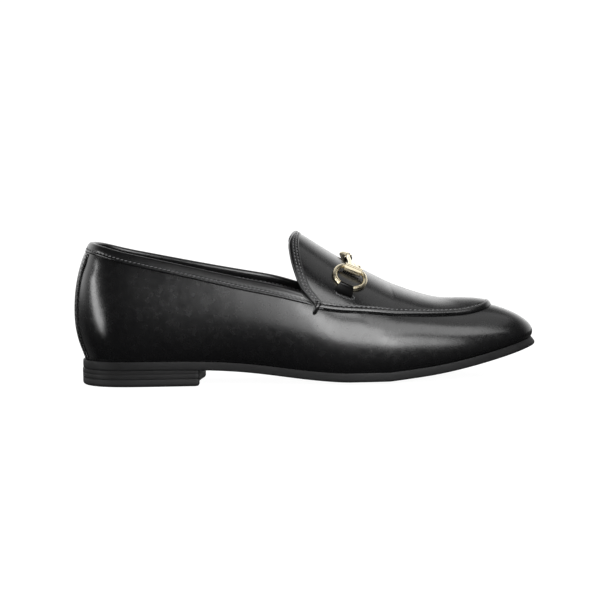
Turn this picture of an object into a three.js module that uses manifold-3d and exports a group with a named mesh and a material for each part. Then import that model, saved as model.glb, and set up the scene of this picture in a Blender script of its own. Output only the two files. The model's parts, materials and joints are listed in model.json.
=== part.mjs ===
// A bit loafer for the right foot: polished black calf, a leather sole and a low stacked heel.
// Millimetres, +Z up, +X to the toe, +Y to the inner (medial) side of the foot.
// The origin is at the centre of the heel's underside, on the floor.
import * as THREE from "three";
import { mergeVertices } from "three/addons/utils/BufferGeometryUtils.js";
import Module from "manifold-3d";

const wasm = await Module();
wasm.setup();

// Driving dimensions of the sole and heel.
const shoeLength = 264; // from the back bulge of the upper to the tip of the sole
const backOverhang = 5; // how far the upper's back bulge stands behind the sole
const ballWidth = 87; // of the sole, outermost lateral point to outermost medial point
const soleThickness = 5;
const soleCrown = 2.4; // how much the sole's edge lifts off the floor at the ball
const toeSpring = 18; // floor to the underside of the sole's tip
const heelHeight = 9.6; // heel stack and top lift together, under the sole
const topLiftThickness = 4.4;
const heelLength = 65.5; // from the back of the sole to the breast, on the lateral side
const breastSlant = 3; // how much further forward the breast is on the medial side
const breastHollow = 1.6; // depth of the breast's curve
const heelTaper = 0.7; // how far the heel's foot is drawn in from the sole's edge
const heelCentre = 36; // from the back bulge to the origin

// Driving dimensions of the upper.
const instepRise = 76.4; // from the sole's top to the upper, at the tongue's peak
const backRise = 67.5; // from the sole's top to the collar, at the back
const throatRise = 46.6; // from the sole's top to the collar, at the throat
const throatReach = 131; // from the back bulge to the notch between collar and tongue
const tongueLean = 7.3; // how far the tongue's edge leans back from the notch
const sideBulge = 5.8; // how far the upper's back swells past its own feather edge
const featherMargin = 2.2; // welt of sole outside the upper, at the toe
const upperWall = 1.7; // outer leather and lining together
const insoleThickness = 3;

// Overlays on the upper, and the gap that parts keep where they meet.
const gap = 0.3;
const apronLeather = 1.2;
const apronLip = 1; // extra height of the apron's lip at its front end
const cornerDrop = 8; // from the notch down to the apron's rear corner
const cornerReach = 6.5; // from the notch forward to that corner
const bandWidth = 6.3;
const bandLeather = 0.8;
const strapWidth = 17; // strap that covers the back seam
const strapLeather = 0.7;
const thongThickness = 1.8;
const thongLength = 6.4;
const thongSlant = 3.2; // how far its upper end leans forwards

// Snaffle bit across the instep.
const bitReach = 159; // from the back bulge to where the bit crosses the ridge
const bitSteepness = 10; // degrees that the bit lies off square to the ridge
const ringRadius = 8.7; // of the wire's centre line
const ringFlat = 7.8; // from the ring's centre to its lower straight side, under the tab
const ringTop = 6.7; // and to the upper one, inside the barrel
const ringWire = 2.6;
const ringSpan = 28; // along the instep, from the ridge to a ring's centre
const barrelLength = 10.4;
const barrelWall = 0.8;
const barThickness = 1.6;
const barNeck = 2;
const eyeRadius = 1.6; // centre line of the linked eyes at the middle
const eyeWire = 1.3;
const tabWidth = 8;
const tabLeather = 0.9;
const tabReach = 5; // from the wire's centre down to the slit in the apron

// Fineness of the meshes.
const stepsAlong = 34;
const stepsLow = 3; // feather edge to bulge
const stepsHigh = 9; // bulge to ridge

const LATERAL = -1;
const MEDIAL = 1;
const SIDES = [LATERAL, MEDIAL];

// Plan outline of the sole. at: share of the sole's length; the rest: shares of half the ball width.
const outlineTable = [
  { at: 0, lateral: 0, medial: 0 },
  { at: 0.03, lateral: 0.45, medial: 0.447 },
  { at: 0.12, lateral: 0.657, medial: 0.637 },
  { at: 0.25, lateral: 0.685, medial: 0.552 },
  { at: 0.33, lateral: 0.717, medial: 0.487 },
  { at: 0.4, lateral: 0.786, medial: 0.474 },
  { at: 0.48, lateral: 0.906, medial: 0.57 },
  { at: 0.55, lateral: 1.007, medial: 0.736 },
  { at: 0.62, lateral: 1.053, medial: 0.885 },
  { at: 0.69, lateral: 0.993, medial: 0.947 },
  { at: 0.77, lateral: 0.86, medial: 0.883 },
  { at: 0.85, lateral: 0.71, medial: 0.745 },
  { at: 0.92, lateral: 0.53, medial: 0.565 },
  { at: 0.97, lateral: 0.343, medial: 0.37 },
  { at: 1, lateral: 0, medial: 0 },
];

// Underside of the sole. at: share of the shoe's length; heel: share of the heel's height;
// toe: share of the toe spring; crown: share of the sole's crown. A share under 0 counts as 0.
const undersideTable = [
  { at: 0, heel: 1, toe: 0, crown: 0 },
  { at: 0.18, heel: 1, toe: 0, crown: 0 },
  { at: 0.27, heel: 0.95, toe: 0, crown: 0.05 },
  { at: 0.38, heel: 0.68, toe: 0, crown: 0.42 },
  { at: 0.49, heel: 0.27, toe: 0, crown: 0.67 },
  { at: 0.57, heel: 0.03, toe: 0, crown: 0.93 },
  { at: 0.61, heel: -0.01, toe: -0.01, crown: 1 },
  { at: 0.67, heel: -0.01, toe: -0.01, crown: 0.95 },
  { at: 0.71, heel: 0, toe: 0.045, crown: 0.85 },
  { at: 0.775, heel: 0, toe: 0.16, crown: 0.7 },
  { at: 0.84, heel: 0, toe: 0.34, crown: 0.5 },
  { at: 0.91, heel: 0, toe: 0.6, crown: 0.22 },
  { at: 0.96, heel: 0, toe: 0.81, crown: 0.08 },
  { at: 1, heel: 0, toe: 1, crown: 0 },
];

// Sections of the upper, from the middle of the back to the middle of the toe. Each is a plane that
// stands on the centre line. spine: share of the shoe's length; turn: the plane's angle to +X;
// margin: share of the feather margin; lateral, medial: shares of the side bulge; low: height of the
// bulge as a share of the section; rise, crest: fullness above the bulge and beside the ridge.
const sectionTable = [
  { spine: 0.125, turn: 180, margin: 0.36, lateral: 0.83, medial: 0.83, low: 0.32, rise: 0.552, crest: 0.552 },
  { spine: 0.127, turn: 157, margin: 0.36, lateral: 0.8, medial: 0.8, low: 0.31, rise: 0.552, crest: 0.552 },
  { spine: 0.133, turn: 134, margin: 0.36, lateral: 0.7, medial: 0.7, low: 0.29, rise: 0.552, crest: 0.552 },
  { spine: 0.148, turn: 113, margin: 0.36, lateral: 0.58, medial: 0.58, low: 0.27, rise: 0.552, crest: 0.552 },
  { spine: 0.185, turn: 98, margin: 0.36, lateral: 0.48, medial: 0.52, low: 0.25, rise: 0.552, crest: 0.552 },
  { spine: 0.25, turn: 91, margin: 0.36, lateral: 0.45, medial: 0.6, low: 0.23, rise: 0.552, crest: 0.552 },
  { spine: 0.333, turn: 90, margin: 0.4, lateral: 0.52, medial: 0.85, low: 0.22, rise: 0.552, crest: 0.552 },
  { spine: 0.416, turn: 90, margin: 0.45, lateral: 0.58, medial: 0.9, low: 0.22, rise: 0.552, crest: 0.552 },
  { spine: 0.5, turn: 90, margin: 0.45, lateral: 0.58, medial: 0.76, low: 0.22, rise: 0.552, crest: 0.552 },
  { spine: 0.567, turn: 90, margin: 0.5, lateral: 0.5, medial: 0.56, low: 0.22, rise: 0.556, crest: 0.57 },
  { spine: 0.625, turn: 88, margin: 0.6, lateral: 0.42, medial: 0.42, low: 0.22, rise: 0.57, crest: 0.6 },
  { spine: 0.682, turn: 82, margin: 0.7, lateral: 0.38, medial: 0.36, low: 0.22, rise: 0.58, crest: 0.64 },
  { spine: 0.731, turn: 72, margin: 0.8, lateral: 0.34, medial: 0.32, low: 0.21, rise: 0.59, crest: 0.67 },
  { spine: 0.773, turn: 58, margin: 0.88, lateral: 0.3, medial: 0.28, low: 0.19, rise: 0.57, crest: 0.66 },
  { spine: 0.807, turn: 40, margin: 0.94, lateral: 0.25, medial: 0.24, low: 0.17, rise: 0.5, crest: 0.6 },
  { spine: 0.83, turn: 20, margin: 0.98, lateral: 0.2, medial: 0.2, low: 0.15, rise: 0.43, crest: 0.53 },
  { spine: 0.841, turn: 0, margin: 1, lateral: 0.17, medial: 0.17, low: 0.14, rise: 0.41, crest: 0.5 },
];

// Ridge of the upper. at: share of the shoe's length; rise: share of the instep's rise.
const ridgeTable = [
  { at: 0.1, rise: 1.08 },
  { at: 0.23, rise: 1.07 },
  { at: 0.34, rise: 1.07 },
  { at: 0.4, rise: 1.057 },
  { at: 0.447, rise: 1.037 },
  { at: 0.479, rise: 1 },
  { at: 0.534, rise: 0.902 },
  { at: 0.598, rise: 0.783 },
  { at: 0.644, rise: 0.699 },
  { at: 0.708, rise: 0.584 },
  { at: 0.75, rise: 0.516 },
  { at: 0.795, rise: 0.458 },
  { at: 0.841, rise: 0.421 },
  { at: 0.9, rise: 0.347 },
];

// Collar. at: share of the way from the back bulge to the notch; rise: share of the way from the
// throat's rise to the back's rise.
const collarTable = [
  { at: 0, rise: 1.02 },
  { at: 0.07, rise: 1 },
  { at: 0.196, rise: 0.8 },
  { at: 0.328, rise: 0.6 },
  { at: 0.548, rise: 0.3 },
  { at: 0.763, rise: 0.105 },
  { at: 0.9, rise: 0.03 },
  { at: 1, rise: 0 },
  { at: 1.08, rise: -0.065 },
];

// Edge of the tongue. up: share of the way from notch to peak; back: share of the tongue's lean.
const tongueTable = [
  { up: -0.3, back: -0.95 },
  { up: 0, back: 0 },
  { up: 0.12, back: 0.28 },
  { up: 0.27, back: 0.52 },
  { up: 0.49, back: 0.8 },
  { up: 0.76, back: 1 },
  { up: 0.91, back: 0.93 },
  { up: 1, back: 0.64 },
];

// Seam between wall and apron. spine: share of the shoe's length; up: share of the curve from the
// bulge to the ridge.
const seamTable = [
  { spine: 0.44, up: 0.265 },
  { spine: 0.52, up: 0.275 },
  { spine: 0.567, up: 0.305 },
  { spine: 0.625, up: 0.355 },
  { spine: 0.682, up: 0.42 },
  { spine: 0.731, up: 0.49 },
  { spine: 0.773, up: 0.55 },
  { spine: 0.807, up: 0.625 },
  { spine: 0.83, up: 0.7 },
  { spine: 0.841, up: 0.735 },
];

// Natural cubic spline through one column of a table.
function spline(table, key, column) {
  const x = table.map((row) => row[key]);
  const y = table.map((row) => row[column]);
  const n = x.length;
  const bend = new Array(n).fill(0);
  const carry = new Array(n).fill(0);
  for (let i = 1; i < n - 1; i++) {
    const share = (x[i] - x[i - 1]) / (x[i + 1] - x[i - 1]);
    const pivot = share * bend[i - 1] + 2;
    const turn = (y[i + 1] - y[i]) / (x[i + 1] - x[i]) - (y[i] - y[i - 1]) / (x[i] - x[i - 1]);
    bend[i] = (share - 1) / pivot;
    carry[i] = ((6 * turn) / (x[i + 1] - x[i - 1]) - share * carry[i - 1]) / pivot;
  }
  for (let i = n - 2; i > 0; i--) {
    bend[i] = bend[i] * bend[i + 1] + carry[i];
  }
  bend[0] = 0;
  bend[n - 1] = 0;
  return (at) => {
    const t = THREE.MathUtils.clamp(at, x[0], x[n - 1]);
    let k = 0;
    while (k < n - 2 && t > x[k + 1]) k++;
    const h = x[k + 1] - x[k];
    const a = (x[k + 1] - t) / h;
    const b = (t - x[k]) / h;
    const sag = ((a * a * a - a) * bend[k] + (b * b * b - b) * bend[k + 1]) * ((h * h) / 6);
    return a * y[k] + b * y[k + 1] + sag;
  };
}

// Distances along the shoe are measured from the back bulge until the last moment.
const soleLength = shoeLength - backOverhang;
const halfBall = ballWidth / 2;
const sidedColumn = (side) => (side === LATERAL ? "lateral" : "medial");

// The squares of the half widths run straight at heel and toe, so their spline ends in round ends.
const squaredOutline = outlineTable.map(({ at, lateral, medial }) => ({
  at,
  lateral: lateral * lateral,
  medial: medial * medial,
}));
const squaredWidth = {
  [LATERAL]: spline(squaredOutline, "at", "lateral"),
  [MEDIAL]: spline(squaredOutline, "at", "medial"),
};
function soleHalfWidth(side, s) {
  const square = squaredWidth[side]((s - backOverhang) / soleLength);
  return halfBall * Math.sqrt(Math.max(0, square));
}

const heelShare = spline(undersideTable, "at", "heel");
const toeShare = spline(undersideTable, "at", "toe");
const crownShare = spline(undersideTable, "at", "crown");
const flatShare = 0.34; // share of the half width that stays flat before the crown begins
function soleBottom(s, y) {
  const at = s / shoeLength;
  const side = y < 0 ? LATERAL : MEDIAL;
  const reach = Math.abs(y) / Math.max(soleHalfWidth(side, s), 1);
  const lift = Math.max(0, (Math.min(reach, 1) - flatShare) / (1 - flatShare));
  const middle = heelHeight * Math.max(0, heelShare(at)) + toeSpring * Math.max(0, toeShare(at));
  return middle + soleCrown * Math.max(0, crownShare(at)) * lift * lift;
}
const soleTop = (s, y) => soleBottom(s, y) + soleThickness;

// The section planes, numbered 0 at the back to 1 at the toe.
const rows = sectionTable.map((row, i) => ({ ...row, u: i / (sectionTable.length - 1) }));
const column = Object.fromEntries(
  Object.keys(sectionTable[0]).map((name) => [name, spline(rows, "u", name)]),
);
const ridgeRise = spline(ridgeTable, "at", "rise");
const ridgeHeight = (s) => soleTop(s, 0) + gap + instepRise * ridgeRise(s / shoeLength);
const SLOPE_STEP = 0.5;
const ridgeSlope = (s) =>
  (ridgeHeight(s + SLOPE_STEP) - ridgeHeight(s - SLOPE_STEP)) / (2 * SLOPE_STEP);

// Where a section plane starts, and which way it points.
function plane(side, u) {
  const angle = THREE.MathUtils.degToRad(THREE.MathUtils.clamp(column.turn(u), 0, 180));
  return {
    s: column.spine(u) * shoeLength,
    along: Math.cos(angle),
    across: side * Math.abs(Math.sin(angle)),
  };
}

// Distance from the centre line to the sole's edge in a section plane, by halving.
function edgeReach(side, u) {
  const { s, along, across } = plane(side, u);
  const room = along > 0 ? (shoeLength - s) / along : (s - backOverhang) / -along;
  let near = 0;
  let far = Math.min(Math.abs(room), ballWidth);
  for (let i = 0; i < 40; i++) {
    const middle = (near + far) / 2;
    if (middle * Math.abs(across) < soleHalfWidth(side, s + middle * along)) near = middle;
    else far = middle;
  }
  return (near + far) / 2;
}
const featherReach = (side, u) => edgeReach(side, u) - featherMargin * column.margin(u);

// Outside of the upper. v runs from 0 at the feather edge over 1 at the bulge to 2 at the ridge.
function sectionCurves(side, u) {
  const { s, along, across } = plane(side, u);
  const reach = featherReach(side, u);
  const bulge = reach + sideBulge * column[sidedColumn(side)](u);
  const foot = soleTop(s + reach * along, reach * across) + gap;
  const crest = ridgeHeight(s);
  const widest = foot + (crest - foot) * column.low(u);
  const fall = ridgeSlope(s) * along;
  const crestRun = bulge * column.crest(u);
  const low = new THREE.CubicBezierCurve(
    new THREE.Vector2(reach, foot),
    new THREE.Vector2(reach + (bulge - reach) * 0.6, foot + (widest - foot) * 0.2),
    new THREE.Vector2(bulge, widest - (widest - foot) * 0.55),
    new THREE.Vector2(bulge, widest),
  );
  const high = new THREE.CubicBezierCurve(
    new THREE.Vector2(bulge, widest),
    new THREE.Vector2(bulge, widest + (crest - widest) * column.rise(u)),
    new THREE.Vector2(crestRun, crest + fall * crestRun),
    new THREE.Vector2(0, crest),
  );
  return { s, along, across, low, high };
}
const sectionStore = new Map();
function section(side, u) {
  const key = side * (u + 2);
  if (!sectionStore.has(key)) sectionStore.set(key, sectionCurves(side, u));
  return sectionStore.get(key);
}
function skin(side, u, v) {
  const { s, along, across, low, high } = section(side, u);
  const p = v < 1 ? low.getPoint(Math.max(v, 0)) : high.getPoint(Math.min(v - 1, 1));
  return new THREE.Vector3(s + p.x * along, p.x * across, p.y);
}
const NUDGE = 0.004;
function skinNormal(side, u, v) {
  const u0 = Math.max(u - NUDGE, 0);
  const u1 = Math.min(u + NUDGE, 1);
  const v0 = Math.max(v - NUDGE, 0);
  const v1 = Math.min(v + NUDGE, 2);
  const alongU = skin(side, u1, v).sub(skin(side, u0, v));
  const alongV = skin(side, u, v1).sub(skin(side, u, v0));
  const normal = alongU.cross(alongV).multiplyScalar(side);
  if (u === 0 || u === 1 || v === 2) normal.y = 0;
  return normal.normalize().multiplyScalar(-1);
}
function shell(side, u, v, offset) {
  return skin(side, u, v).addScaledVector(skinNormal(side, u, v), offset);
}

// The plane number whose centre line point is at s, by halving.
function planeAt(s) {
  let low = 0;
  let high = 1;
  for (let i = 0; i < 40; i++) {
    const middle = (low + high) / 2;
    if (column.spine(middle) * shoeLength < s) low = middle;
    else high = middle;
  }
  return (low + high) / 2;
}

// Collar height, tongue edge and apron seam.
const collarRise = spline(collarTable, "at", "rise");
const collarHeight = (s) =>
  soleTop(s, 0) + throatRise + (backRise - throatRise) * collarRise(s / throatReach);
const tongueBack = spline(tongueTable, "up", "back");
const notchHeight = collarHeight(throatReach);
const peakReach = throatReach - tongueLean * tongueTable.at(-1).back;
const peakHeight = ridgeHeight(peakReach);
const tongueEdge = (z) =>
  throatReach - tongueLean * tongueBack((z - notchHeight) / (peakHeight - notchHeight));
const seamShare = spline(seamTable, "spine", "up");
const seamLine = (u) => 1 + seamShare(column.spine(u));

// A closed mesh from a list of triangles, each three points. Its faces are turned to point out.
function solidFromTriangles(triangles) {
  const geometry = new THREE.BufferGeometry().setFromPoints(triangles.flat());
  return new wasm.Manifold(meshData(geometry));
}
function meshData(geometry) {
  const plain = geometry.index ? geometry.toNonIndexed() : geometry.clone();
  plain.deleteAttribute("normal");
  plain.deleteAttribute("uv");
  const merged = mergeVertices(plain, 1e-4);
  const corners = merged.index.array;
  const points = merged.attributes.position;
  const kept = [];
  let volume = 0;
  for (let i = 0; i < corners.length; i += 3) {
    const [a, b, c] = [corners[i], corners[i + 1], corners[i + 2]];
    if (a === b || b === c || a === c) continue;
    kept.push([a, b, c]);
    const [p, q, r] = [a, b, c].map((k) => new THREE.Vector3().fromBufferAttribute(points, k));
    volume += p.dot(q.cross(r));
  }
  const outwards = kept.map(([a, b, c]) => (volume < 0 ? [a, c, b] : [a, b, c]));
  return new wasm.Mesh({
    numProp: 3,
    vertProperties: points.array,
    triVerts: new Uint32Array(outwards.flat()),
  });
}
const solidOf = (geometry) => new wasm.Manifold(meshData(geometry));
function geometryOf(solid) {
  const mesh = solid.getMesh();
  return new THREE.BufferGeometry()
    .setAttribute("position", new THREE.BufferAttribute(mesh.vertProperties, 3))
    .setIndex(new THREE.BufferAttribute(mesh.triVerts, 1));
}

// Triangles between neighbouring points of a grid. flip turns their faces over.
function gridTriangles(grid, flip = false) {
  const triangles = [];
  for (let i = 0; i + 1 < grid.length; i++) {
    for (let j = 0; j + 1 < grid[i].length; j++) {
      const [a, b, c, d] = [grid[i][j], grid[i + 1][j], grid[i + 1][j + 1], grid[i][j + 1]];
      triangles.push(flip ? [a, c, b] : [a, b, c], flip ? [a, d, c] : [a, c, d]);
    }
  }
  return triangles;
}

const steps = (n) => Array.from({ length: n + 1 }, (_, i) => i / n);
const lowSteps = steps(stepsLow).slice(0, -1);
const highSteps = steps(stepsHigh).map((t) => 1 + t);
const upSteps = [...lowSteps, ...highSteps];
const alongSteps = steps(stepsAlong);

// The upper's outline as one closed solid, moved out by an offset and lengthened downwards by a drop.
function formSolid(offset, drop) {
  const ring = (side, u) => {
    const points = upSteps.map((v) => shell(side, u, v, offset));
    const foot = points[0].clone();
    foot.z -= drop;
    return drop ? [foot, ...points] : points;
  };
  const halves = SIDES.map((side) => alongSteps.map((u) => ring(side, u)));
  const base = alongSteps.map((u, i) => [halves[0][i][0], halves[1][i][0]]);
  return solidFromTriangles([
    ...gridTriangles(halves[0]),
    ...gridTriangles(halves[1], true),
    ...gridTriangles(base, true),
  ]);
}

// Everything above the collar and behind the tongue, as a block right across the shoe.
function collarCutter() {
  const far = shoeLength;
  const rim = steps(24).map((t) => {
    const s = -backOverhang + t * (throatReach + backOverhang);
    return new THREE.Vector2(s, collarHeight(Math.max(s, 0)));
  });
  const rise = steps(14).slice(1).map((t) => {
    const z = notchHeight + t * (peakHeight - notchHeight);
    return new THREE.Vector2(tongueEdge(z), z);
  });
  const top = peakHeight + far / 4;
  const shape = new THREE.Shape([
    new THREE.Vector2(-far / 4, collarHeight(0)),
    ...rim,
    ...rise,
    new THREE.Vector2(peakReach + tongueLean, top),
    new THREE.Vector2(-far / 4, top),
  ]);
  const block = new THREE.ExtrudeGeometry(shape, { depth: 2 * ballWidth, bevelEnabled: false });
  block.rotateX(Math.PI / 2).translate(0, ballWidth, 0);
  return solidOf(block);
}

function upper() {
  const hollow = formSolid(-upperWall, soleThickness);
  return formSolid(0, 0).subtract(hollow).subtract(collarCutter());
}

// A sheet of leather on the upper: a grid of [side, u, v, extra height] places, thickened outwards.
// Where it is joined, the lines' last places meet in pairs, so that no rim closes them.
function overlay(places, inner, outer, joined = false) {
  const layer = (offset, raised) =>
    places.map((line) =>
      line.map(([side, u, v, extra = 0]) => shell(side, u, v, offset + (raised ? extra : 0))),
    );
  const inside = layer(inner, false);
  const outside = layer(outer, true);
  const rim = (a, b) => gridTriangles([a, b]);
  const last = places.length - 1;
  const end = places[0].length - 1;
  const front = rim(inside.map((line) => line[end]), outside.map((line) => line[end]));
  return solidFromTriangles([
    ...gridTriangles(outside),
    ...gridTriangles(inside, true),
    ...rim(inside[0], outside[0]),
    ...rim(outside[last], inside[last]),
    ...rim(outside.map((line) => line[0]), inside.map((line) => line[0])),
    ...(joined ? [] : front),
  ]);
}

// v on a section plane at the height given for that place, by halving.
function heightOnPlane(side, u, heightAt) {
  let low = 1;
  let high = 2;
  for (let i = 0; i < 40; i++) {
    const middle = (low + high) / 2;
    const p = skin(side, u, middle);
    if (p.z < heightAt(p.x)) low = middle;
    else high = middle;
  }
  return (low + high) / 2;
}

// Places from a lateral end, round the back, to a medial end. lineOf takes a side and the share of
// the way from the back to that side's end.
function roundTheBack(count, lineOf) {
  return steps(count).map((t) => lineOf(t < 0.5 ? LATERAL : MEDIAL, Math.abs(1 - 2 * t)));
}

// The collar binding. Its front ends stop short of the apron's rear edge, which slants forwards.
const bandFoot = (s) => collarHeight(s) - bandWidth;
function collarBand() {
  const places = roundTheBack(44, (side, share) =>
    steps(3).map((t) => {
      const down = gap + (bandWidth - gap) * (1 - t);
      const end = throatReach - 3 * gap + cornerReach * (down / cornerDrop);
      const u = share * planeAt(end);
      return [side, u, heightOnPlane(side, u, (s) => collarHeight(s) - down)];
    }),
  );
  return overlay(places, gap, gap + bandLeather);
}

function backStrap() {
  const foot = 0.12;
  const uEdge = (v) => {
    let low = 0;
    let high = 0.4;
    for (let i = 0; i < 30; i++) {
      const middle = (low + high) / 2;
      if (Math.abs(skin(MEDIAL, middle, v).y) < strapWidth / 2) low = middle;
      else high = middle;
    }
    return (low + high) / 2;
  };
  const top = heightOnPlane(LATERAL, 0, (s) => bandFoot(s) - 2 * gap);
  const places = roundTheBack(8, (side, share) =>
    steps(10).map((k) => {
      const v = foot + (top - foot) * k;
      return [side, share * uEdge(v), v];
    }),
  );
  return overlay(places, gap, gap + strapLeather);
}

// The apron runs forward from the tongue's edge. across goes from -1 at the lateral seam over 0 at
// the ridge to 1 at the medial seam.
const apronV = (u, across) => 2 - Math.abs(across) * (2 - seamLine(u));
const cornerPlane = planeAt(throatReach + cornerReach);
function tonguePlane(side, across) {
  const reachOf = (z) => {
    const down = (notchHeight - z) / cornerDrop;
    return down > 0 ? throatReach + cornerReach * Math.min(down, 1) : tongueEdge(z);
  };
  let low = planeAt(throatReach - 2 * tongueLean);
  let high = cornerPlane;
  for (let i = 0; i < 40; i++) {
    const middle = (low + high) / 2;
    const p = skin(side, middle, apronV(middle, across));
    if (p.x < reachOf(p.z)) low = middle;
    else high = middle;
  }
  return (low + high) / 2;
}
const lipHeight = (u, across) => apronLip * Math.abs(across) ** 4 * Math.max(0, (u - 0.7) / 0.3);

function apron() {
  const lines = steps(18).map((t) => {
    const across = Math.sin((t - 0.5) * Math.PI) * 0.35 + (2 * t - 1) * 0.65;
    const side = across < 0 ? LATERAL : MEDIAL;
    const start = tonguePlane(side, across);
    return steps(26).map((k) => {
      const u = start + (1 - start) * k;
      return [side, u, apronV(u, across), lipHeight(u, across)];
    });
  });
  return overlay(lines, gap, gap + apronLeather, true);
}

// A plate that lies on the sole's plan: reach gives its edge, top and bottom its two faces.
function plate(reach, top, bottom, across) {
  const face = (side, height) =>
    alongSteps.map((u) => {
      const { s, along, across: sideways } = plane(side, u);
      const edge = reach(side, u);
      return across.map((t) => {
        const x = s + edge * t * along;
        const y = edge * t * sideways;
        return new THREE.Vector3(x, y, height(x, y));
      });
    });
  const triangles = SIDES.flatMap((side) => {
    const flip = side === LATERAL;
    const upside = face(side, top);
    const under = face(side, bottom);
    const rim = alongSteps.map((u, i) => [upside[i].at(-1), under[i].at(-1)]);
    return [
      ...gridTriangles(upside, !flip),
      ...gridTriangles(under, flip),
      ...gridTriangles(rim, !flip),
    ];
  });
  return solidFromTriangles(triangles);
}

const crownSteps = [0, flatShare, (1 + flatShare) / 2, 1];
const outsole = () => plate(edgeReach, soleTop, soleBottom, crownSteps);

function insole() {
  const inset = upperWall + 2 * gap;
  return plate(
    (side, u) => featherReach(side, u) - inset,
    (s, y) => soleTop(s, y) + gap + insoleThickness,
    (s, y) => soleTop(s, y) + gap,
    crownSteps,
  );
}

// One layer of the heel, between two heights. Its back follows the sole, its front is the breast.
function heelLayer(bottom, top) {
  const breast = backOverhang + heelLength;
  const widthAt = (side, s) => soleHalfWidth(side, s) - heelTaper;
  const back = backOverhang + heelTaper;
  const rimOf = (side) =>
    steps(16).slice(1).map((t) => {
      const front = breast + (side === MEDIAL ? breastSlant : 0);
      const s = back + (front - back) * (1 - Math.cos((t * Math.PI) / 2));
      const shifted = s - heelTaper * (1 - t);
      return new THREE.Vector2(s, side * widthAt(side, Math.max(shifted, backOverhang + 0.01)));
    });
  const lateral = rimOf(LATERAL);
  const medial = rimOf(MEDIAL);
  const from = lateral.at(-1);
  const to = medial.at(-1);
  const hollow = steps(6).slice(1, -1).map((t) => {
    const p = from.clone().lerp(to, t);
    p.x -= breastHollow * Math.sin(Math.PI * t);
    return p;
  });
  const points = [new THREE.Vector2(back, 0), ...lateral, ...hollow, ...medial.reverse()];
  const shape = new THREE.Shape(points);
  const block = new THREE.ExtrudeGeometry(shape, { depth: top - bottom, bevelEnabled: false });
  block.translate(0, 0, bottom);
  return solidOf(block);
}

const topLift = () => heelLayer(0, topLiftThickness);
function heelStack() {
  const tall = heelLayer(topLiftThickness + gap, heelHeight + soleThickness);
  const seat = plate(
    (side, u) => edgeReach(side, u) + 2 * heelTaper,
    (s, y) => soleTop(s, y) + heelHeight,
    (s, y) => soleBottom(s, y) - gap,
    crownSteps,
  );
  return tall.subtract(seat);
}

// The bit lies in a plane across the ridge. Points on the apron in that plane, from the ridge out.
const bitMiddle = shell(LATERAL, planeAt(bitReach), 2, gap + apronLeather);
const ridgeAngle = Math.atan(ridgeSlope(bitReach));
const ridgeAlong = new THREE.Vector3(Math.cos(ridgeAngle), 0, Math.sin(ridgeAngle));
const bitAngle = ridgeAngle + THREE.MathUtils.degToRad(bitSteepness);
const bitNormal = new THREE.Vector3(Math.cos(bitAngle), 0, Math.sin(bitAngle));
function bitPlace(side, distance) {
  const uNear = planeAt(bitReach) - 0.15;
  let v = 2;
  let previous = bitMiddle;
  let travelled = 0;
  let place = { u: planeAt(bitReach), v: 2 };
  while (travelled < distance && v > 1) {
    v -= 0.01;
    let low = uNear;
    let high = planeAt(bitReach) + 0.05;
    for (let i = 0; i < 24; i++) {
      const middle = (low + high) / 2;
      const along = shell(side, middle, v, gap + apronLeather).sub(bitMiddle).dot(bitNormal);
      if (along < 0) low = middle;
      else high = middle;
    }
    place = { u: (low + high) / 2, v };
    const point = shell(side, place.u, place.v, gap + apronLeather);
    travelled += point.distanceTo(previous);
    previous = point;
  }
  return place;
}
// Axes of a piece of the bit: x along the ridge, y down the side of the foot, z off the leather.
function bitFrame(side, distance, lift) {
  const { u, v } = bitPlace(side, distance);
  const out = skinNormal(side, u, v);
  const along = ridgeAlong.clone().projectOnPlane(out).normalize();
  const down = out.clone().cross(along).multiplyScalar(side);
  const origin = shell(side, u, v, gap + apronLeather + lift);
  return new THREE.Matrix4().makeBasis(along, down, out).setPosition(origin);
}

// A round wire along a closed line of points, in the plane z = 0.
function wireLoop(points, radius, sides) {
  const n = points.length;
  const rings = points.map((p, i) => {
    const ahead = points[(i + 1) % n].clone().sub(points[(i - 1 + n) % n]).normalize();
    const outward = new THREE.Vector3(ahead.y, -ahead.x, 0);
    const around = steps(sides).map((t) => {
      const angle = 2 * Math.PI * (t === 1 ? 0 : t);
      return p
        .clone()
        .addScaledVector(outward, radius * Math.cos(angle))
        .add(new THREE.Vector3(0, 0, radius * Math.sin(angle)));
    });
    return around;
  });
  return solidFromTriangles(gridTriangles([...rings, rings[0]], true));
}
const circlePoint = (radius, angle) =>
  new THREE.Vector3(radius * Math.cos(angle), radius * Math.sin(angle), 0);

// A round ring with two straight sides, one under the bar's barrel and one under the leather tab.
function bitRing(segments = 24) {
  const points = steps(segments).slice(1).map((t) => {
    const p = circlePoint(ringRadius, t * 2 * Math.PI);
    p.y = THREE.MathUtils.clamp(p.y, -ringTop, ringFlat);
    return p;
  });
  return wireLoop(points, ringWire / 2, 8);
}

// A tube along X with a wall outside a bore, as an extruded ring.
function barrel(length, bore, wall, sides = 7) {
  const shape = new THREE.Shape().absarc(0, 0, bore + wall, 0, 2 * Math.PI);
  shape.holes.push(new THREE.Path().absarc(0, 0, bore, 0, 2 * Math.PI, true));
  const tube = new THREE.ExtrudeGeometry(shape, {
    depth: length,
    bevelEnabled: false,
    curveSegments: sides,
  });
  tube.translate(0, 0, -length / 2).rotateY(Math.PI / 2);
  return solidOf(tube);
}
const placed = (solid, matrix) => solidOf(geometryOf(solid).applyMatrix4(matrix));
const wireBore = ringWire / 2 + gap;
const ringLift = wireBore + barrelWall; // the barrel lies on the leather and holds the ring off it

// How the bar narrows from its barrel to its neck. along: share of its length; width: share of the
// way from the neck's width to the barrel's length.
const barTable = [
  { along: 0, width: 0.96 },
  { along: 0.12, width: 0.72 },
  { along: 0.28, width: 0.34 },
  { along: 0.46, width: 0.08 },
  { along: 0.64, width: 0 },
  { along: 0.82, width: 0 },
];

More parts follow.
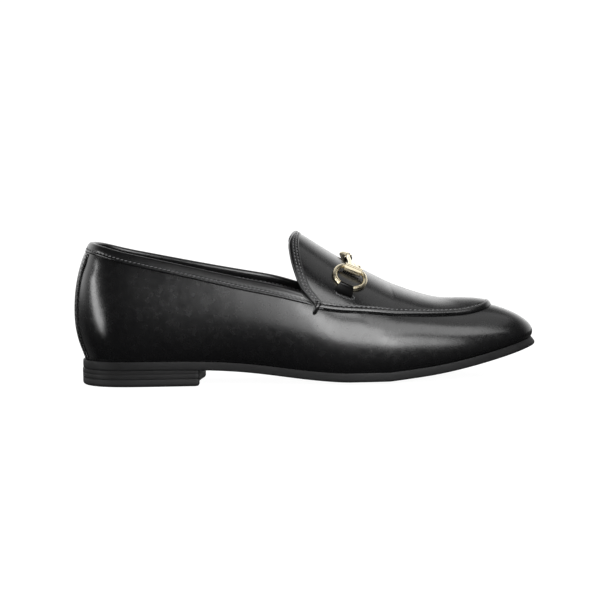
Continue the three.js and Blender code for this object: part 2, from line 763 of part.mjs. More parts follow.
// Half of the bar: a barrel round the ring's straight side, a flared plate that follows the instep,
// and an eye in the middle that is turned halfway over, so that it links with the other half's.
function bitLink(side) {
  const eyeRise = gap + (eyeRadius * Math.SQRT1_2 + eyeWire / 2);
  const middle = bitFrame(side, 0, eyeRise);
  const eyeOff = eyeRadius - eyeWire / 2 - gap / 2;
  const eyeEnd = eyeOff + eyeRadius;
  const turned = new THREE.Matrix4().makeRotationY((side * Math.PI) / 4);
  const eyeFrame = middle.clone().multiply(shifted(0, eyeOff, 0)).multiply(turned);
  const eye = wireLoop(
    steps(14).slice(1).map((t) => circlePoint(eyeRadius, t * 2 * Math.PI)),
    eyeWire / 2,
    6,
  );
  const barrelFrame = bitFrame(side, ringSpan, ringLift).multiply(shifted(0, -ringTop, 0));
  const seat = wireBore + barrelWall / 2;
  const start = ringSpan - ringTop - seat;
  const barRise = gap + barThickness;
  const rings = barTable.map(({ along, width }) => {
    const half = (barNeck + (barrelLength - barNeck) * width) / 2;
    const distance = start + (eyeEnd - start) * along;
    const rise = barRise + (eyeRise - barRise) * along * along;
    const frame =
      along === 0
        ? barrelFrame.clone().multiply(shifted(0, -seat, 0))
        : bitFrame(side, distance, rise);
    return barSection(half, frame);
  });
  rings.push(barSection(barNeck / 2, middle.clone().multiply(shifted(0, eyeEnd, 0))));
  const cap = ([a, b, c, d], flip) => gridTriangles([[a, b], [d, c]], flip);
  const bar = solidFromTriangles([
    ...gridTriangles(rings),
    ...cap(rings[0], true),
    ...cap(rings.at(-1), false),
  ]);
  const rod = new THREE.CylinderGeometry(wireBore, wireBore, 2 * barrelLength, 24);
  const bore = solidOf(rod.rotateZ(Math.PI / 2).applyMatrix4(barrelFrame));
  return placed(barrel(barrelLength, wireBore, barrelWall), barrelFrame)
    .add(bar.subtract(bore))
    .add(placed(eye, eyeFrame));
}
const shifted = (x, y, z) => new THREE.Matrix4().makeTranslation(x, y, z);
function barSection(half, frame) {
  const thick = barThickness / 2;
  const corners = [
    [-half, -thick],
    [half, -thick],
    [half, thick],
    [-half, thick],
    [-half, -thick],
  ];
  return corners.map(([x, z]) => new THREE.Vector3(x, 0, z).applyMatrix4(frame));
}

const ringSolid = (side) => placed(bitRing(), bitFrame(side, ringSpan, ringLift));

// A leather loop round the ring's lower straight side, with its tail towards the slit in the apron.
function bitTab(side) {
  const ring = bitFrame(side, ringSpan, ringLift);
  const frame = ring.clone().multiply(new THREE.Matrix4().makeTranslation(0, ringFlat, 0));
  const under = bitFrame(side, ringSpan + ringFlat + tabReach, gap);
  const toRing = frame.clone().invert();
  const slit = new THREE.Vector3().setFromMatrixPosition(under).applyMatrix4(toRing);
  const reach = wireBore + tabLeather / 2;
  const tail = new THREE.Shape([
    new THREE.Vector2(reach - tabLeather / 2, tabLeather / 2),
    new THREE.Vector2(reach - tabLeather / 2, -tabLeather),
    new THREE.Vector2(slit.y, slit.z),
    new THREE.Vector2(slit.y, slit.z + tabLeather),
  ]);
  const strip = new THREE.ExtrudeGeometry(tail, { depth: tabWidth, bevelEnabled: false });
  strip.translate(0, 0, -tabWidth / 2).rotateY(Math.PI / 2).rotateX(Math.PI / 2);
  const loop = barrel(tabWidth, wireBore, tabLeather);
  return placed(loop.add(solidOf(strip)), frame);
}

// A short leather thong that ties the apron's rear corner down to the wall.
function thongTie(side) {
  const radius = thongThickness / 2;
  const onApron = gap + apronLeather + gap + radius;
  const onWall = 2 * gap + radius;
  const corner = new THREE.Vector2(cornerPlane, seamLine(cornerPlane));
  const step = 0.01;
  const origin = skin(side, corner.x, corner.y);
  const perU = skin(side, corner.x + step, corner.y).distanceTo(origin) / step;
  const perV = skin(side, corner.x, corner.y + step).distanceTo(origin) / step;
  const plan = [
    { up: 0.56, ahead: 1, lift: onApron },
    { up: 0.2, ahead: 0.64, lift: onApron },
    { up: -0.16, ahead: 0.28, lift: onApron },
    { up: -0.44, ahead: 0, lift: onWall },
  ];
  const points = plan.map(({ up, ahead, lift }) => {
    const u = corner.x + (thongSlant * ahead) / perU;
    const v = corner.y + (thongLength * up) / perV;
    return shell(side, u, v, lift);
  });
  const path = new THREE.CatmullRomCurve3(points);
  const round = new THREE.Shape().absarc(0, 0, radius, 0, 2 * Math.PI);
  return solidOf(
    new THREE.ExtrudeGeometry(round, { extrudePath: path, steps: 9, curveSegments: 4 }),
  );
}

const blackCalf = { color: 0x141415, roughness: 0.32, metalness: 0 };
const soleEdge = { color: 0x2c2c2e, roughness: 0.6, metalness: 0 };
const rubber = { color: 0x222224, roughness: 0.75, metalness: 0 };
const lining = { color: 0x1b1a1a, roughness: 0.6, metalness: 0 };
const paleGold = { color: 0xd9c58e, roughness: 0.2, metalness: 1 };

const loafer = new THREE.Group();
function addPart(name, solid, finish) {
  const mesh = new THREE.Mesh(geometryOf(solid), new THREE.MeshStandardMaterial(finish));
  mesh.name = name;
  mesh.position.x = -heelCentre;
  loafer.add(mesh);
}

addPart("outsole", outsole(), soleEdge);
addPart("heel_stack", heelStack(), soleEdge);
addPart("top_lift", topLift(), rubber);
addPart("upper", upper(), blackCalf);
addPart("insole", insole(), lining);
addPart("apron", apron(), blackCalf);
addPart("collar_band", collarBand(), blackCalf);
addPart("back_strap", backStrap(), blackCalf);
for (const side of SIDES) {
  const word = sidedColumn(side);
  addPart("bit_ring_" + word, ringSolid(side), paleGold);
  addPart("bit_link_" + word, bitLink(side), paleGold);
  addPart("bit_tab_" + word, bitTab(side), blackCalf);
  addPart("thong_tie_" + word, thongTie(side), blackCalf);
}

export default loafer;
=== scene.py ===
# %% [markdown]
# A bit loafer for the right foot, in polished black calf. The solid parts come in as a fixed frame.
# This lesson dresses them: it makes each leather, sole and metal piece again as a fine mesh on the
# same lines, gives it its finish, and sets up the light and the camera. All lengths are millimetres
# until a mesh is made, because a shoemaker thinks in them. Blender gets metres.

# %% Load the frame
import json
import math

import bmesh
import bpy
import numpy as np
from mathutils import Matrix, Quaternion, Vector

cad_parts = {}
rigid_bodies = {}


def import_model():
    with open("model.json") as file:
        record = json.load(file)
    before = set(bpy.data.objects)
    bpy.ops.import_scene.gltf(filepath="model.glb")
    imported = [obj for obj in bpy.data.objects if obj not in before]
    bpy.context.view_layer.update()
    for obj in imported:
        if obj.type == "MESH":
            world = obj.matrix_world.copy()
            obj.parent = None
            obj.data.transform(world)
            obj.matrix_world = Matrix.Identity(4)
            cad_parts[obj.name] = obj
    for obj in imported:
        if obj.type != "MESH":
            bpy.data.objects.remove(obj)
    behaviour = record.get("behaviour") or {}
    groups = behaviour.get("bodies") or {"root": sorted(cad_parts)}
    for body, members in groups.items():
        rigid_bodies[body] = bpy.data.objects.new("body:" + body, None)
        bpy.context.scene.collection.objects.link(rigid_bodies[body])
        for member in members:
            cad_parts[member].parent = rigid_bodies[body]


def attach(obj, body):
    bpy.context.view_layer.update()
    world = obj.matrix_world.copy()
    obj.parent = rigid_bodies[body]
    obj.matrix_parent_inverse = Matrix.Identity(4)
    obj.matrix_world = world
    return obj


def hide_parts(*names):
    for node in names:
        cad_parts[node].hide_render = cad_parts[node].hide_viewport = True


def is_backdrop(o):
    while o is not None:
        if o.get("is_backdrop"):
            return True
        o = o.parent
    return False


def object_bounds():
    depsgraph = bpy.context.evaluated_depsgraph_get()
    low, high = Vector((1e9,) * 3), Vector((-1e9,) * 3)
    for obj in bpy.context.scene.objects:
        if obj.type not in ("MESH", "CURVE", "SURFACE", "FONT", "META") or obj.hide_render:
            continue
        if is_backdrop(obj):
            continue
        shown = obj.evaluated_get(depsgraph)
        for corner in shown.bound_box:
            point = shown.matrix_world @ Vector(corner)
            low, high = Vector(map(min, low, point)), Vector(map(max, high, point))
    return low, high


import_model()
cad_low, cad_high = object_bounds()
MM = 0.001
print("frame box in mm:", [round(x / MM, 1) for x in (*cad_low, *cad_high)])

# %% [markdown]
# The last is the wooden foot that a shoe is made on, and every piece of leather lies on it. Sculpting
# it would be one way, but then no seam could be placed by a measure. So the last is a formula here:
# short tables give its sections, smooth curves run through the tables, and any spot on it is named by
# two numbers. w runs round the shoe, from -1 at the toe over the lateral side to 0 at the back and
# over the medial side to 1 at the toe. v runs up the wall, from 0 at the feather edge over 1 at the
# fullest place to 2 at the ridge. Distances s are measured from the back of the upper.

# %% The shoe's measures
heel_centre = 36
back_overhang = 2.7
shoe_length = cad_high.x / MM + heel_centre
ball_width = 87
sole_thickness = 5
sole_crown = 2.4
toe_spring = 18
heel_height = 9.6
top_lift_thickness = 4.4
heel_length = 68.5
breast_slant = 3
breast_hollow = 1.6
heel_taper = 0.7
instep_rise = 76.4
back_rise = 67.5
throat_rise = 46.6
throat_reach = 131
tongue_lean = 7.3
side_bulge = 5.8
feather_margin = 2.2
gap = 0.3
apron_leather = 1.2
corner_drop = 8
corner_reach = 6.5
half_ball = ball_width / 2
sole_length = shoe_length - back_overhang
SIDES = ((-1, "lateral"), (1, "medial"))
print("shoe length", round(shoe_length, 2))


# %% Tables and the curve through them
def table(columns, *rows):
    """Named columns from rows of numbers."""
    return dict(zip(columns.split(), np.array(rows, float).T))


def curve(x, y):
    """A natural cubic spline through points, as a function that keeps its ends' values beyond them."""
    x = np.asarray(x, float)
    y = np.asarray(y, float)
    h = np.diff(x)
    n = len(x)
    system = np.zeros((n, n))
    target = np.zeros(n)
    system[0, 0] = 1
    system[-1, -1] = 1
    for i in range(1, n - 1):
        system[i, i - 1 : i + 2] = h[i - 1], 2 * (h[i - 1] + h[i]), h[i]
        target[i] = 6 * ((y[i + 1] - y[i]) / h[i] - (y[i] - y[i - 1]) / h[i - 1])
    bend = np.linalg.solve(system, target)

    def value(at):
        t = np.clip(at, x[0], x[-1])
        k = np.clip(np.searchsorted(x, t, side="right") - 1, 0, n - 2)
        a = (x[k + 1] - t) / h[k]
        b = (t - x[k]) / h[k]
        sag = ((a**3 - a) * bend[k] + (b**3 - b) * bend[k + 1]) * h[k] ** 2 / 6
        return a * y[k] + b * y[k + 1] + sag

    return value


# Outline of the sole. at: share of its length; the rest: shares of half the ball width.
OUTLINE = table(
    "at lateral medial",
    (0, 0, 0),
    (0.03, 0.45, 0.447),
    (0.12, 0.657, 0.637),
    (0.25, 0.685, 0.552),
    (0.33, 0.717, 0.487),
    (0.4, 0.786, 0.474),
    (0.48, 0.906, 0.57),
    (0.55, 1.007, 0.736),
    (0.62, 1.053, 0.885),
    (0.69, 0.993, 0.947),
    (0.77, 0.86, 0.883),
    (0.85, 0.71, 0.745),
    (0.92, 0.53, 0.565),
    (0.97, 0.343, 0.37),
    (1, 0, 0),
)
# Underside of the sole. at: share of the shoe's length; the rest: shares of heel, toe spring, crown.
UNDERSIDE = table(
    "at heel toe crown",
    (0, 1, 0, 0),
    (0.18, 1, 0, 0),
    (0.27, 0.95, 0, 0.05),
    (0.38, 0.68, 0, 0.42),
    (0.49, 0.27, 0, 0.67),
    (0.57, 0.03, 0, 0.93),
    (0.61, -0.01, -0.01, 1),
    (0.67, -0.01, -0.01, 0.95),
    (0.71, 0, 0.045, 0.85),
    (0.775, 0, 0.16, 0.7),
    (0.84, 0, 0.34, 0.5),
    (0.91, 0, 0.6, 0.22),
    (0.96, 0, 0.81, 0.08),
    (1, 0, 1, 0),
)
# Sections of the last, from the middle of the back to the middle of the toe. spine: where the
# section's plane stands; turn: its angle to +X; margin: share of the feather margin; flare: how soon
# the wall leans out; lateral, medial: shares of the side bulge; low: height of the fullest place;
# rise, crest: fullness above it.
SECTIONS = table(
    "spine turn margin flare lateral medial low rise crest",
    (0.125, 180, 1.5, 0.22, 0.97, 0.97, 0.32, 0.552, 0.552),
    (0.127, 157, 1.4, 0.25, 0.93, 0.93, 0.31, 0.552, 0.552),
    (0.133, 134, 1.1, 0.3, 0.82, 0.82, 0.29, 0.552, 0.552),
    (0.148, 113, 0.75, 0.4, 0.68, 0.64, 0.27, 0.552, 0.552),
    (0.185, 98, 0.5, 0.5, 0.64, 0.54, 0.25, 0.552, 0.552),
    (0.25, 91, 0.36, 0.58, 0.75, 0.6, 0.23, 0.552, 0.552),
    (0.333, 90, 0.4, 0.6, 0.92, 0.85, 0.22, 0.552, 0.552),
    (0.416, 90, 0.45, 0.6, 0.92, 0.9, 0.22, 0.552, 0.552),
    (0.5, 90, 0.45, 0.6, 0.72, 0.76, 0.22, 0.552, 0.552),
    (0.567, 90, 0.5, 0.6, 0.52, 0.56, 0.22, 0.556, 0.57),
    (0.625, 88, 0.6, 0.6, 0.42, 0.42, 0.22, 0.57, 0.6),
    (0.682, 82, 0.7, 0.6, 0.38, 0.36, 0.22, 0.58, 0.64),
    (0.731, 72, 0.8, 0.6, 0.34, 0.32, 0.21, 0.59, 0.67),
    (0.773, 58, 0.88, 0.6, 0.3, 0.28, 0.19, 0.57, 0.66),
    (0.807, 40, 0.94, 0.6, 0.25, 0.24, 0.17, 0.5, 0.6),
    (0.83, 20, 0.98, 0.6, 0.2, 0.2, 0.15, 0.43, 0.53),
    (0.841, 0, 1, 0.6, 0.17, 0.17, 0.14, 0.41, 0.5),
)
# Ridge. at: share of the shoe's length; rise: share of the instep's rise.
RIDGE = table(
    "at rise",
    (0.1, 1.08),
    (0.23, 1.07),
    (0.34, 1.07),
    (0.4, 1.057),
    (0.447, 1.037),
    (0.479, 1),
    (0.534, 0.902),
    (0.598, 0.783),
    (0.644, 0.699),
    (0.708, 0.584),
    (0.75, 0.516),
    (0.795, 0.458),
    (0.841, 0.421),
    (0.9, 0.347),
)
# Collar. at: share of the way from the back to the notch; lateral, medial: shares of the rise from
# throat to back, where the inner side stands a little higher; depth: depth of its binding in mm.
COLLAR = table(
    "at lateral medial depth",
    (0, 1.02, 1.02, 6.3),
    (0.07, 1, 0.99, 6.3),
    (0.196, 0.812, 0.772, 6.45),
    (0.328, 0.62, 0.578, 6.7),
    (0.548, 0.331, 0.32, 6.9),
    (0.763, 0.153, 0.182, 7.3),
    (0.9, 0.085, 0.112, 7.1),
    (1, 0, 0, 6.6),
    (1.08, -0.065, -0.065, 6.3),
)
# Rear edge of the tongue. up: share of the way from notch to peak; back: share of the lean.
TONGUE = table(
    "up back",
    (-0.3, -0.95),
    (0, 0),
    (0.12, 0.28),
    (0.27, 0.52),
    (0.49, 0.8),
    (0.76, 1),
    (0.91, 0.93),
    (1, 0.64),
)
# Seam between wall and apron. spine: share of the shoe's length; up: share from bulge to ridge.
SEAM = table(
    "spine up",
    (0.44, 0.235),
    (0.52, 0.25),
    (0.567, 0.285),
    (0.625, 0.342),
    (0.682, 0.408),
    (0.731, 0.472),
    (0.773, 0.535),
    (0.807, 0.575),
    (0.83, 0.658),
    (0.841, 0.72),
)
print("sections on the last:", len(SECTIONS["spine"]))

# %% The sole's surfaces
squared_width = {side: curve(OUTLINE["at"], OUTLINE[word] ** 2) for side, word in SIDES}


def by_side(side, lateral, medial):
    return np.where(np.asarray(side) < 0, lateral, medial)


def sole_half_width(side, s):
    at = (s - back_overhang) / sole_length
    squared = by_side(side, squared_width[-1](at), squared_width[1](at))
    return half_ball * np.sqrt(np.maximum(0, squared))


heel_share = curve(UNDERSIDE["at"], UNDERSIDE["heel"])
toe_share = curve(UNDERSIDE["at"], UNDERSIDE["toe"])
crown_share = curve(UNDERSIDE["at"], UNDERSIDE["crown"])
flat_share = 0.34  # of the half width, before the crown begins


def sole_bottom(s, y):
    at = s / shoe_length
    reach = np.abs(y) / np.maximum(sole_half_width(y, s), 1)
    lift = np.maximum(0, (np.minimum(reach, 1) - flat_share) / (1 - flat_share))
    middle = heel_height * np.maximum(0, heel_share(at)) + toe_spring * np.maximum(0, toe_share(at))
    return middle + sole_crown * np.maximum(0, crown_share(at)) * lift**2


def sole_top(s, y):
    return sole_bottom(s, y) + sole_thickness


print("sole's top at heel, ball, toe:", [round(float(sole_top(s, 0)), 1) for s in (30, 165, 260)])

# %% The last's surface
numbers = np.linspace(0, 1, len(SECTIONS["spine"]))
section = {name: curve(numbers, values) for name, values in SECTIONS.items()}
ridge_rise = curve(RIDGE["at"], RIDGE["rise"])


def ridge_height(s):
    return sole_top(s, 0) + gap + instep_rise * ridge_rise(s / shoe_length)


def ridge_slope(s, step=0.5):
    return (ridge_height(s + step) - ridge_height(s - step)) / (2 * step)


def plane(w):
    """Where a section plane starts on the centre line, and which way it points."""
    angle = np.radians(np.clip(section["turn"](np.abs(w)), 0, 180))
    across = by_side(w, -1.0, 1.0) * np.abs(np.sin(angle))
    return section["spine"](np.abs(w)) * shoe_length, np.cos(angle), across


def measured_reach(w):
    """Distance from the centre line to the sole's edge in a section plane, by halving."""
    s, along, across = plane(w)
    steep = np.maximum(np.abs(along), 1e-9)
    room = np.where(along > 0, shoe_length - s, s - back_overhang) / steep
    near = np.zeros_like(s)
    far = np.minimum(np.abs(room), ball_width)
    for _ in range(40):
        middle = (near + far) / 2
        inside = middle * np.abs(across) < sole_half_width(w, s + middle * along)
        near = np.where(inside, middle, near)
        far = np.where(inside, far, middle)
    return (near + far) / 2


places = np.linspace(0, 1, 361)
reach_curve = {side: curve(places, measured_reach(side * (places + 1e-12))) for side in (-1, 1)}


def edge_reach(w):
    u = np.abs(w)
    return by_side(w, reach_curve[-1](u), reach_curve[1](u))


def feather_reach(w):
    return edge_reach(w) - feather_margin * section["margin"](np.abs(w))


def bezier(a, b, c, d, t):
    return a * (1 - t) ** 3 + 3 * b * t * (1 - t) ** 2 + 3 * c * t * t * (1 - t) + d * t**3


def skin(w, v):
    """Points of the last's surface."""
    w, v = np.broadcast_arrays(np.asarray(w, float), np.asarray(v, float))
    u = np.abs(w)
    s, along, across = plane(w)
    reach = feather_reach(w)
    share = by_side(w, section["lateral"](u), section["medial"](u))
    bulge = reach + side_bulge * share
    foot = sole_top(s + reach * along, reach * across) + gap
    crest = ridge_height(s)
    widest = foot + (crest - foot) * section["low"](u)
    run = bulge * section["crest"](u)
    t = np.clip(v, 0, 1)
    low_out = bezier(reach, reach + (bulge - reach) * section["flare"](u), bulge, bulge, t)
    low_up = bezier(foot, foot + (widest - foot) * 0.2, widest - (widest - foot) * 0.55, widest, t)
    t = np.clip(v - 1, 0, 1)
    high_out = bezier(bulge, bulge, run, 0, t)
    shoulder = widest + (crest - widest) * section["rise"](u)
    high_up = bezier(widest, shoulder, crest + ridge_slope(s) * along * run, crest, t)
    out = np.where(v < 1, low_out, high_out)
    up = np.where(v < 1, low_up, high_up)
    return np.stack([s + out * along, out * across, up], axis=-1)


def unit(vectors):
    return vectors / np.maximum(np.linalg.norm(vectors, axis=-1, keepdims=True), 1e-12)


def run_length(points):
    """Distance along a line of points, from its first."""
    return np.concatenate([[0], np.cumsum(np.linalg.norm(np.diff(points, axis=0), axis=1))])


def evened(line, rounds):
    """A closed line with its corners rounded."""
    for _ in range(rounds):
        line = line + 0.25 * (np.roll(line, 1, 0) + np.roll(line, -1, 0) - 2 * line)
    return line


def skin_normal(w, v, nudge=0.004):
    w, v = np.broadcast_arrays(np.asarray(w, float), np.asarray(v, float))
    round_shoe = skin(np.minimum(w + nudge, 1), v) - skin(np.maximum(w - nudge, -1), v)
    upwards = skin(w, np.minimum(v + nudge, 2)) - skin(w, np.maximum(v - nudge, 0))
    normal = np.cross(upwards, round_shoe)
    on_middle = (np.abs(w) > 1 - 1e-9) | (np.abs(w) < 1e-9) | (v > 2 - 1e-9)
    normal[..., 1] = np.where(on_middle, 0, normal[..., 1])
    return unit(normal)


def lifted(w, v, height):
    """Points a height off the last's surface."""
    return skin(w, v) + skin_normal(w, v) * np.asarray(height, float)[..., None]


spine_places = section["spine"](places) * shoe_length


def plane_at(s):
    return np.interp(s, spine_places, places)


side_point = skin(-0.5, 1.2)
print("a point on the lateral wall:", np.round(side_point, 1), np.round(skin_normal(-0.5, 1.2), 2))

# %% Collar, tongue and seam lines
collar_rise = {side: curve(COLLAR["at"], COLLAR[word]) for side, word in SIDES}
collar_depth = curve(COLLAR["at"], COLLAR["depth"])
tongue_back = curve(TONGUE["up"], TONGUE["back"])
seam_share = curve(SEAM["spine"], SEAM["up"])


def collar_height(s, w=0.0):
    at = s / throat_reach
    share = by_side(w, collar_rise[-1](at), collar_rise[1](at))
    return sole_top(s, 0) + throat_rise + (back_rise - throat_rise) * share


notch_height = float(collar_height(throat_reach))
peak_reach = throat_reach - tongue_lean * TONGUE["back"][-1]
peak_height = float(ridge_height(peak_reach))


def tongue_edge(z):
    return throat_reach - tongue_lean * tongue_back((z - notch_height) / (peak_height - notch_height))


def seam_line(u):
    return 1 + seam_share(section["spine"](u))


def rear_reach(z):
    """How far forward the apron's rear edge stands at a height."""
    down = (notch_height - z) / corner_drop
    below = throat_reach + corner_reach * np.minimum(down, 1)
    return np.where(down > 0, below, tongue_edge(z))


def halved(test, low, high, rounds=40):
    """The place between low and high up to which a test holds."""
    for _ in range(rounds):
        middle = (low + high) / 2
        holds = test(middle)
        low = np.where(holds, middle, low)
        high = np.where(holds, high, middle)
    return (low + high) / 2


def v_at_height(w, height_at):
    """v in the planes w at which the wall reaches the height given for its place."""

    def below(v):
        p = skin(w, v)
        return p[..., 2] < height_at(p[..., 0], w)

    return halved(below, np.ones_like(w), np.full_like(w, 2.0))


corner_plane = float(plane_at(throat_reach + corner_reach))
print("notch height", round(notch_height, 1), "tongue's peak", round(peak_height, 1))

# %% [markdown]
# A mesh in Blender can be drawn by hand, grown by modifiers or built from points. Leather pieces lie
# on one surface, so each is a grid of spots on the last with a height for each spot. The helper below
# turns such grids into one closed mesh: it welds where grids meet and turns the faces outwards.


# %% Grids into pieces
def faces_of(rows, columns, start, wrap):
    i, j = np.meshgrid(np.arange(rows - 1), np.arange(columns if wrap else columns - 1), indexing="ij")
    k = (j + 1) % columns
    quads = np.stack([i * columns + j, (i + 1) * columns + j, (i + 1) * columns + k, i * columns + k])
    return quads.reshape(4, -1).T + start


def piece(name, grids, finish, nodes=(), caps=False, wrap=False, weld=0.004):
    """One object from grids of points in millimetres. wrap closes each row, caps fill the end rows."""
    points = []
    quads = []
    ends = []
    start = 0
    for grid in grids:
        rows, columns = grid.shape[:2]
        points.append(grid.reshape(-1, 3))
        quads.extend(faces_of(rows, columns, start, wrap).tolist())
        if caps:
            ends.append(list(range(start, start + columns)))
            ends.append(list(range(start + (rows - 1) * columns, start + rows * columns)))
        start += rows * columns
    placed = (np.concatenate(points) - (heel_centre, 0, 0)) * MM
    mesh = bpy.data.meshes.new(name)
    mesh.from_pydata(placed.tolist(), [], quads + ends)
    work = bmesh.new()
    work.from_mesh(mesh)
    bmesh.ops.remove_doubles(work, verts=work.verts, dist=weld * MM)
    bmesh.ops.dissolve_degenerate(work, edges=work.edges, dist=weld * MM / 2)
    bmesh.ops.recalc_face_normals(work, faces=work.faces)
    open_edges = sum(1 for e in work.edges if not e.is_manifold)
    work.to_mesh(mesh)
    work.free()
    mesh.shade_smooth()
    made = bpy.data.objects.new(name, mesh)
    bpy.context.collection.objects.link(made)
    mesh.materials.append(finish)
    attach(made, "root")
    if nodes:
        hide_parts(*nodes)
    print(name, len(mesh.polygons), "faces,", open_edges, "open edges")
    return made


def sheet_grids(outside, inside, joined_end=False):
    """The grids of a sheet with a thickness: two faces and the rims between them."""
    rims = [
        np.stack([outside[0], inside[0]]),
        np.stack([outside[-1], inside[-1]]),
        np.stack([outside[:, 0], inside[:, 0]]),
    ]
    if not joined_end:
        rims.append(np.stack([outside[:, -1], inside[:, -1]]))
    return [outside, inside, *rims]


# %% [markdown]
# Polished calf is dyed black, waxed and buffed. Its own colour is nearly none; what shows is light
# from the studio, sharp where the wax is smooth and broken up by fine pores. Texture paint could hold
# that, but it would be tied to one picture size. Here a Principled shader has a dark base, a clear
# coat for the wax, and a bump from two patterns: small cells for the pores, and a slow noise for the
# swell of a skin over a last.


# %% Finishes
def material(name, colour, roughness, metallic=0.0, coat=0.0, coat_roughness=0.1, specular=0.5):
    made = bpy.data.materials.new(name)
    made.use_nodes = True
    shader = made.node_tree.nodes["Principled BSDF"]
    shader.inputs["Base Color"].default_value = (*colour, 1)
    shader.inputs["Roughness"].default_value = roughness
    shader.inputs["Metallic"].default_value = metallic
    shader.inputs["Coat Weight"].default_value = coat
    shader.inputs["Coat Roughness"].default_value = coat_roughness
    shader.inputs["Specular IOR Level"].default_value = specular
    made.diffuse_color = (*colour, 1)
    return made


def node(owner, kind, **values):
    made = owner.node_tree.nodes.new(kind)
    for key, value in values.items():
        if hasattr(made, key):
            setattr(made, key, value)
        else:
            made.inputs[key.replace("_", " ").title()].default_value = value
    return made


def link(owner, start, end):
    owner.node_tree.links.new(start, end)


def shader_of(owner):
    return owner.node_tree.nodes["Principled BSDF"]


def on_object(owner, stretch=(1, 1, 1)):
    """The piece's own coordinates in metres, stretched."""
    where = node(owner, "ShaderNodeTexCoord")
    mapping = node(owner, "ShaderNodeMapping")
    mapping.inputs["Scale"].default_value = stretch
    link(owner, where.outputs["Object"], mapping.inputs["Vector"])
    return mapping.outputs["Vector"]


def noise(owner, where, scale, detail=2.0, roughness=0.5):
    made = node(owner, "ShaderNodeTexNoise", scale=scale, detail=detail, roughness=roughness)
    link(owner, where, made.inputs["Vector"])
    return made.outputs["Fac"]


def cells(owner, where, scale):
    made = node(owner, "ShaderNodeTexVoronoi", scale=scale)
    link(owner, where, made.inputs["Vector"])
    return made.outputs["Distance"]


def bump(owner, height, depth, strength, under=None):
    """Adds relief of a depth in millimetres to the shader's normal."""
    made = node(owner, "ShaderNodeBump")
    made.inputs["Strength"].default_value = strength
    made.inputs["Distance"].default_value = depth * MM
    link(owner, height, made.inputs["Height"])
    if under is not None:
        link(owner, under, made.inputs["Normal"])
    link(owner, made.outputs["Normal"], shader_of(owner).inputs["Normal"])
    return made.outputs["Normal"]


def roughened(owner, fac, low, high):
    """Lets the roughness swing with a pattern, over the pattern's middle range."""
    made = node(owner, "ShaderNodeMapRange", from_min=0.3, from_max=0.7, to_min=low, to_max=high)
    link(owner, fac, made.inputs["Value"])
    link(owner, made.outputs["Result"], shader_of(owner).inputs["Roughness"])


def tinted(owner, fac, low, high):
    """Lets the base colour swing with a pattern."""
    made = node(owner, "ShaderNodeMix", data_type="RGBA")
    named = {s.identifier: s for s in made.inputs}
    named["A_Color"].default_value = (*low, 1)
    named["B_Color"].default_value = (*high, 1)
    link(owner, fac, named["Factor_Float"])
    link(owner, made.outputs[2], shader_of(owner).inputs["Base Color"])


def calf(name, roughness=0.245, pores=0.55, coat=0.3):
    made = material(name, (0.002, 0.002, 0.0021), roughness, coat=coat, coat_roughness=0.2)
    where = on_object(made)
    swell = bump(made, noise(made, where, 90, 3), 0.25, 0.12)
    bump(made, cells(made, where, 1050), 0.04, pores * 0.5, swell)
    roughened(made, noise(made, where, 260, 4), roughness - 0.03, roughness + 0.05)
    tinted(made, noise(made, where, 60, 3), (0.0016, 0.0016, 0.0017), (0.0026, 0.0026, 0.0028))
    return made


black_calf = calf("black_calf")
binding_calf = calf("binding_calf", roughness=0.3, pores=0.7, coat=0.22)
tab_calf = material("tab_calf", (0.0015, 0.0015, 0.0016), 0.28, specular=0.5)
print("calf finishes:", black_calf.name, binding_calf.name)

# %% Finishes of sole, lining, thread and metal
lining_leather = material("lining_leather", (0.012, 0.011, 0.011), 0.62)
lining_where = on_object(lining_leather)
bump(lining_leather, cells(lining_leather, lining_where, 1300), 0.08, 0.5)
lining_clouds = noise(lining_leather, lining_where, 150, 4)
tinted(lining_leather, lining_clouds, (0.010, 0.0095, 0.009), (0.017, 0.016, 0.016))

sole_leather = material("sole_leather", (0.005, 0.005, 0.0052), 0.6, specular=0.22)
streaks_where = on_object(sole_leather, (1, 1, 9))
streaks = noise(sole_leather, streaks_where, 210, 5, 0.62)
tinted(sole_leather, streaks, (0.002, 0.002, 0.0021), (0.009, 0.009, 0.0094))
bump(sole_leather, streaks, 0.12, 0.35)
roughened(sole_leather, streaks, 0.48, 0.66)

lift_rubber = material("lift_rubber", (0.009, 0.009, 0.0095), 0.62, specular=0.3)
rubber_where = on_object(lift_rubber)
bump(lift_rubber, noise(lift_rubber, rubber_where, 1500, 3), 0.05, 0.4)
rubber_clouds = noise(lift_rubber, rubber_where, 120, 4)
tinted(lift_rubber, rubber_clouds, (0.005, 0.005, 0.0053), (0.008, 0.008, 0.0083))

waxed_thread = material("waxed_thread", (0.06, 0.06, 0.062), 0.33, coat=0.3)
twist = node(waxed_thread, "ShaderNodeTexWave", scale=1400)
link(waxed_thread, on_object(waxed_thread), twist.inputs["Vector"])
bump(waxed_thread, twist.outputs["Fac"], 0.05, 0.5)

pale_gold = material("pale_gold", (0.8, 0.715, 0.52), 0.26, metallic=1.0)
gold_where = on_object(pale_gold)
bump(pale_gold, noise(pale_gold, gold_where, 700, 3), 0.01, 0.25)
roughened(pale_gold, noise(pale_gold, gold_where, 320, 4), 0.22, 0.31)
print("materials:", len(bpy.data.materials))

# %% [markdown]
# The outsole is a plate of leather with a waxed, ironed edge. It could be cut from a block with
# modifiers, but its edge has to follow the last's feather line. So one line of its section, from the
# middle of the top over the rounded edge to the middle of the underside, is carried round the shoe.
# Near its edge the underside has the fine groove of the channel that hides the sole's stitches.


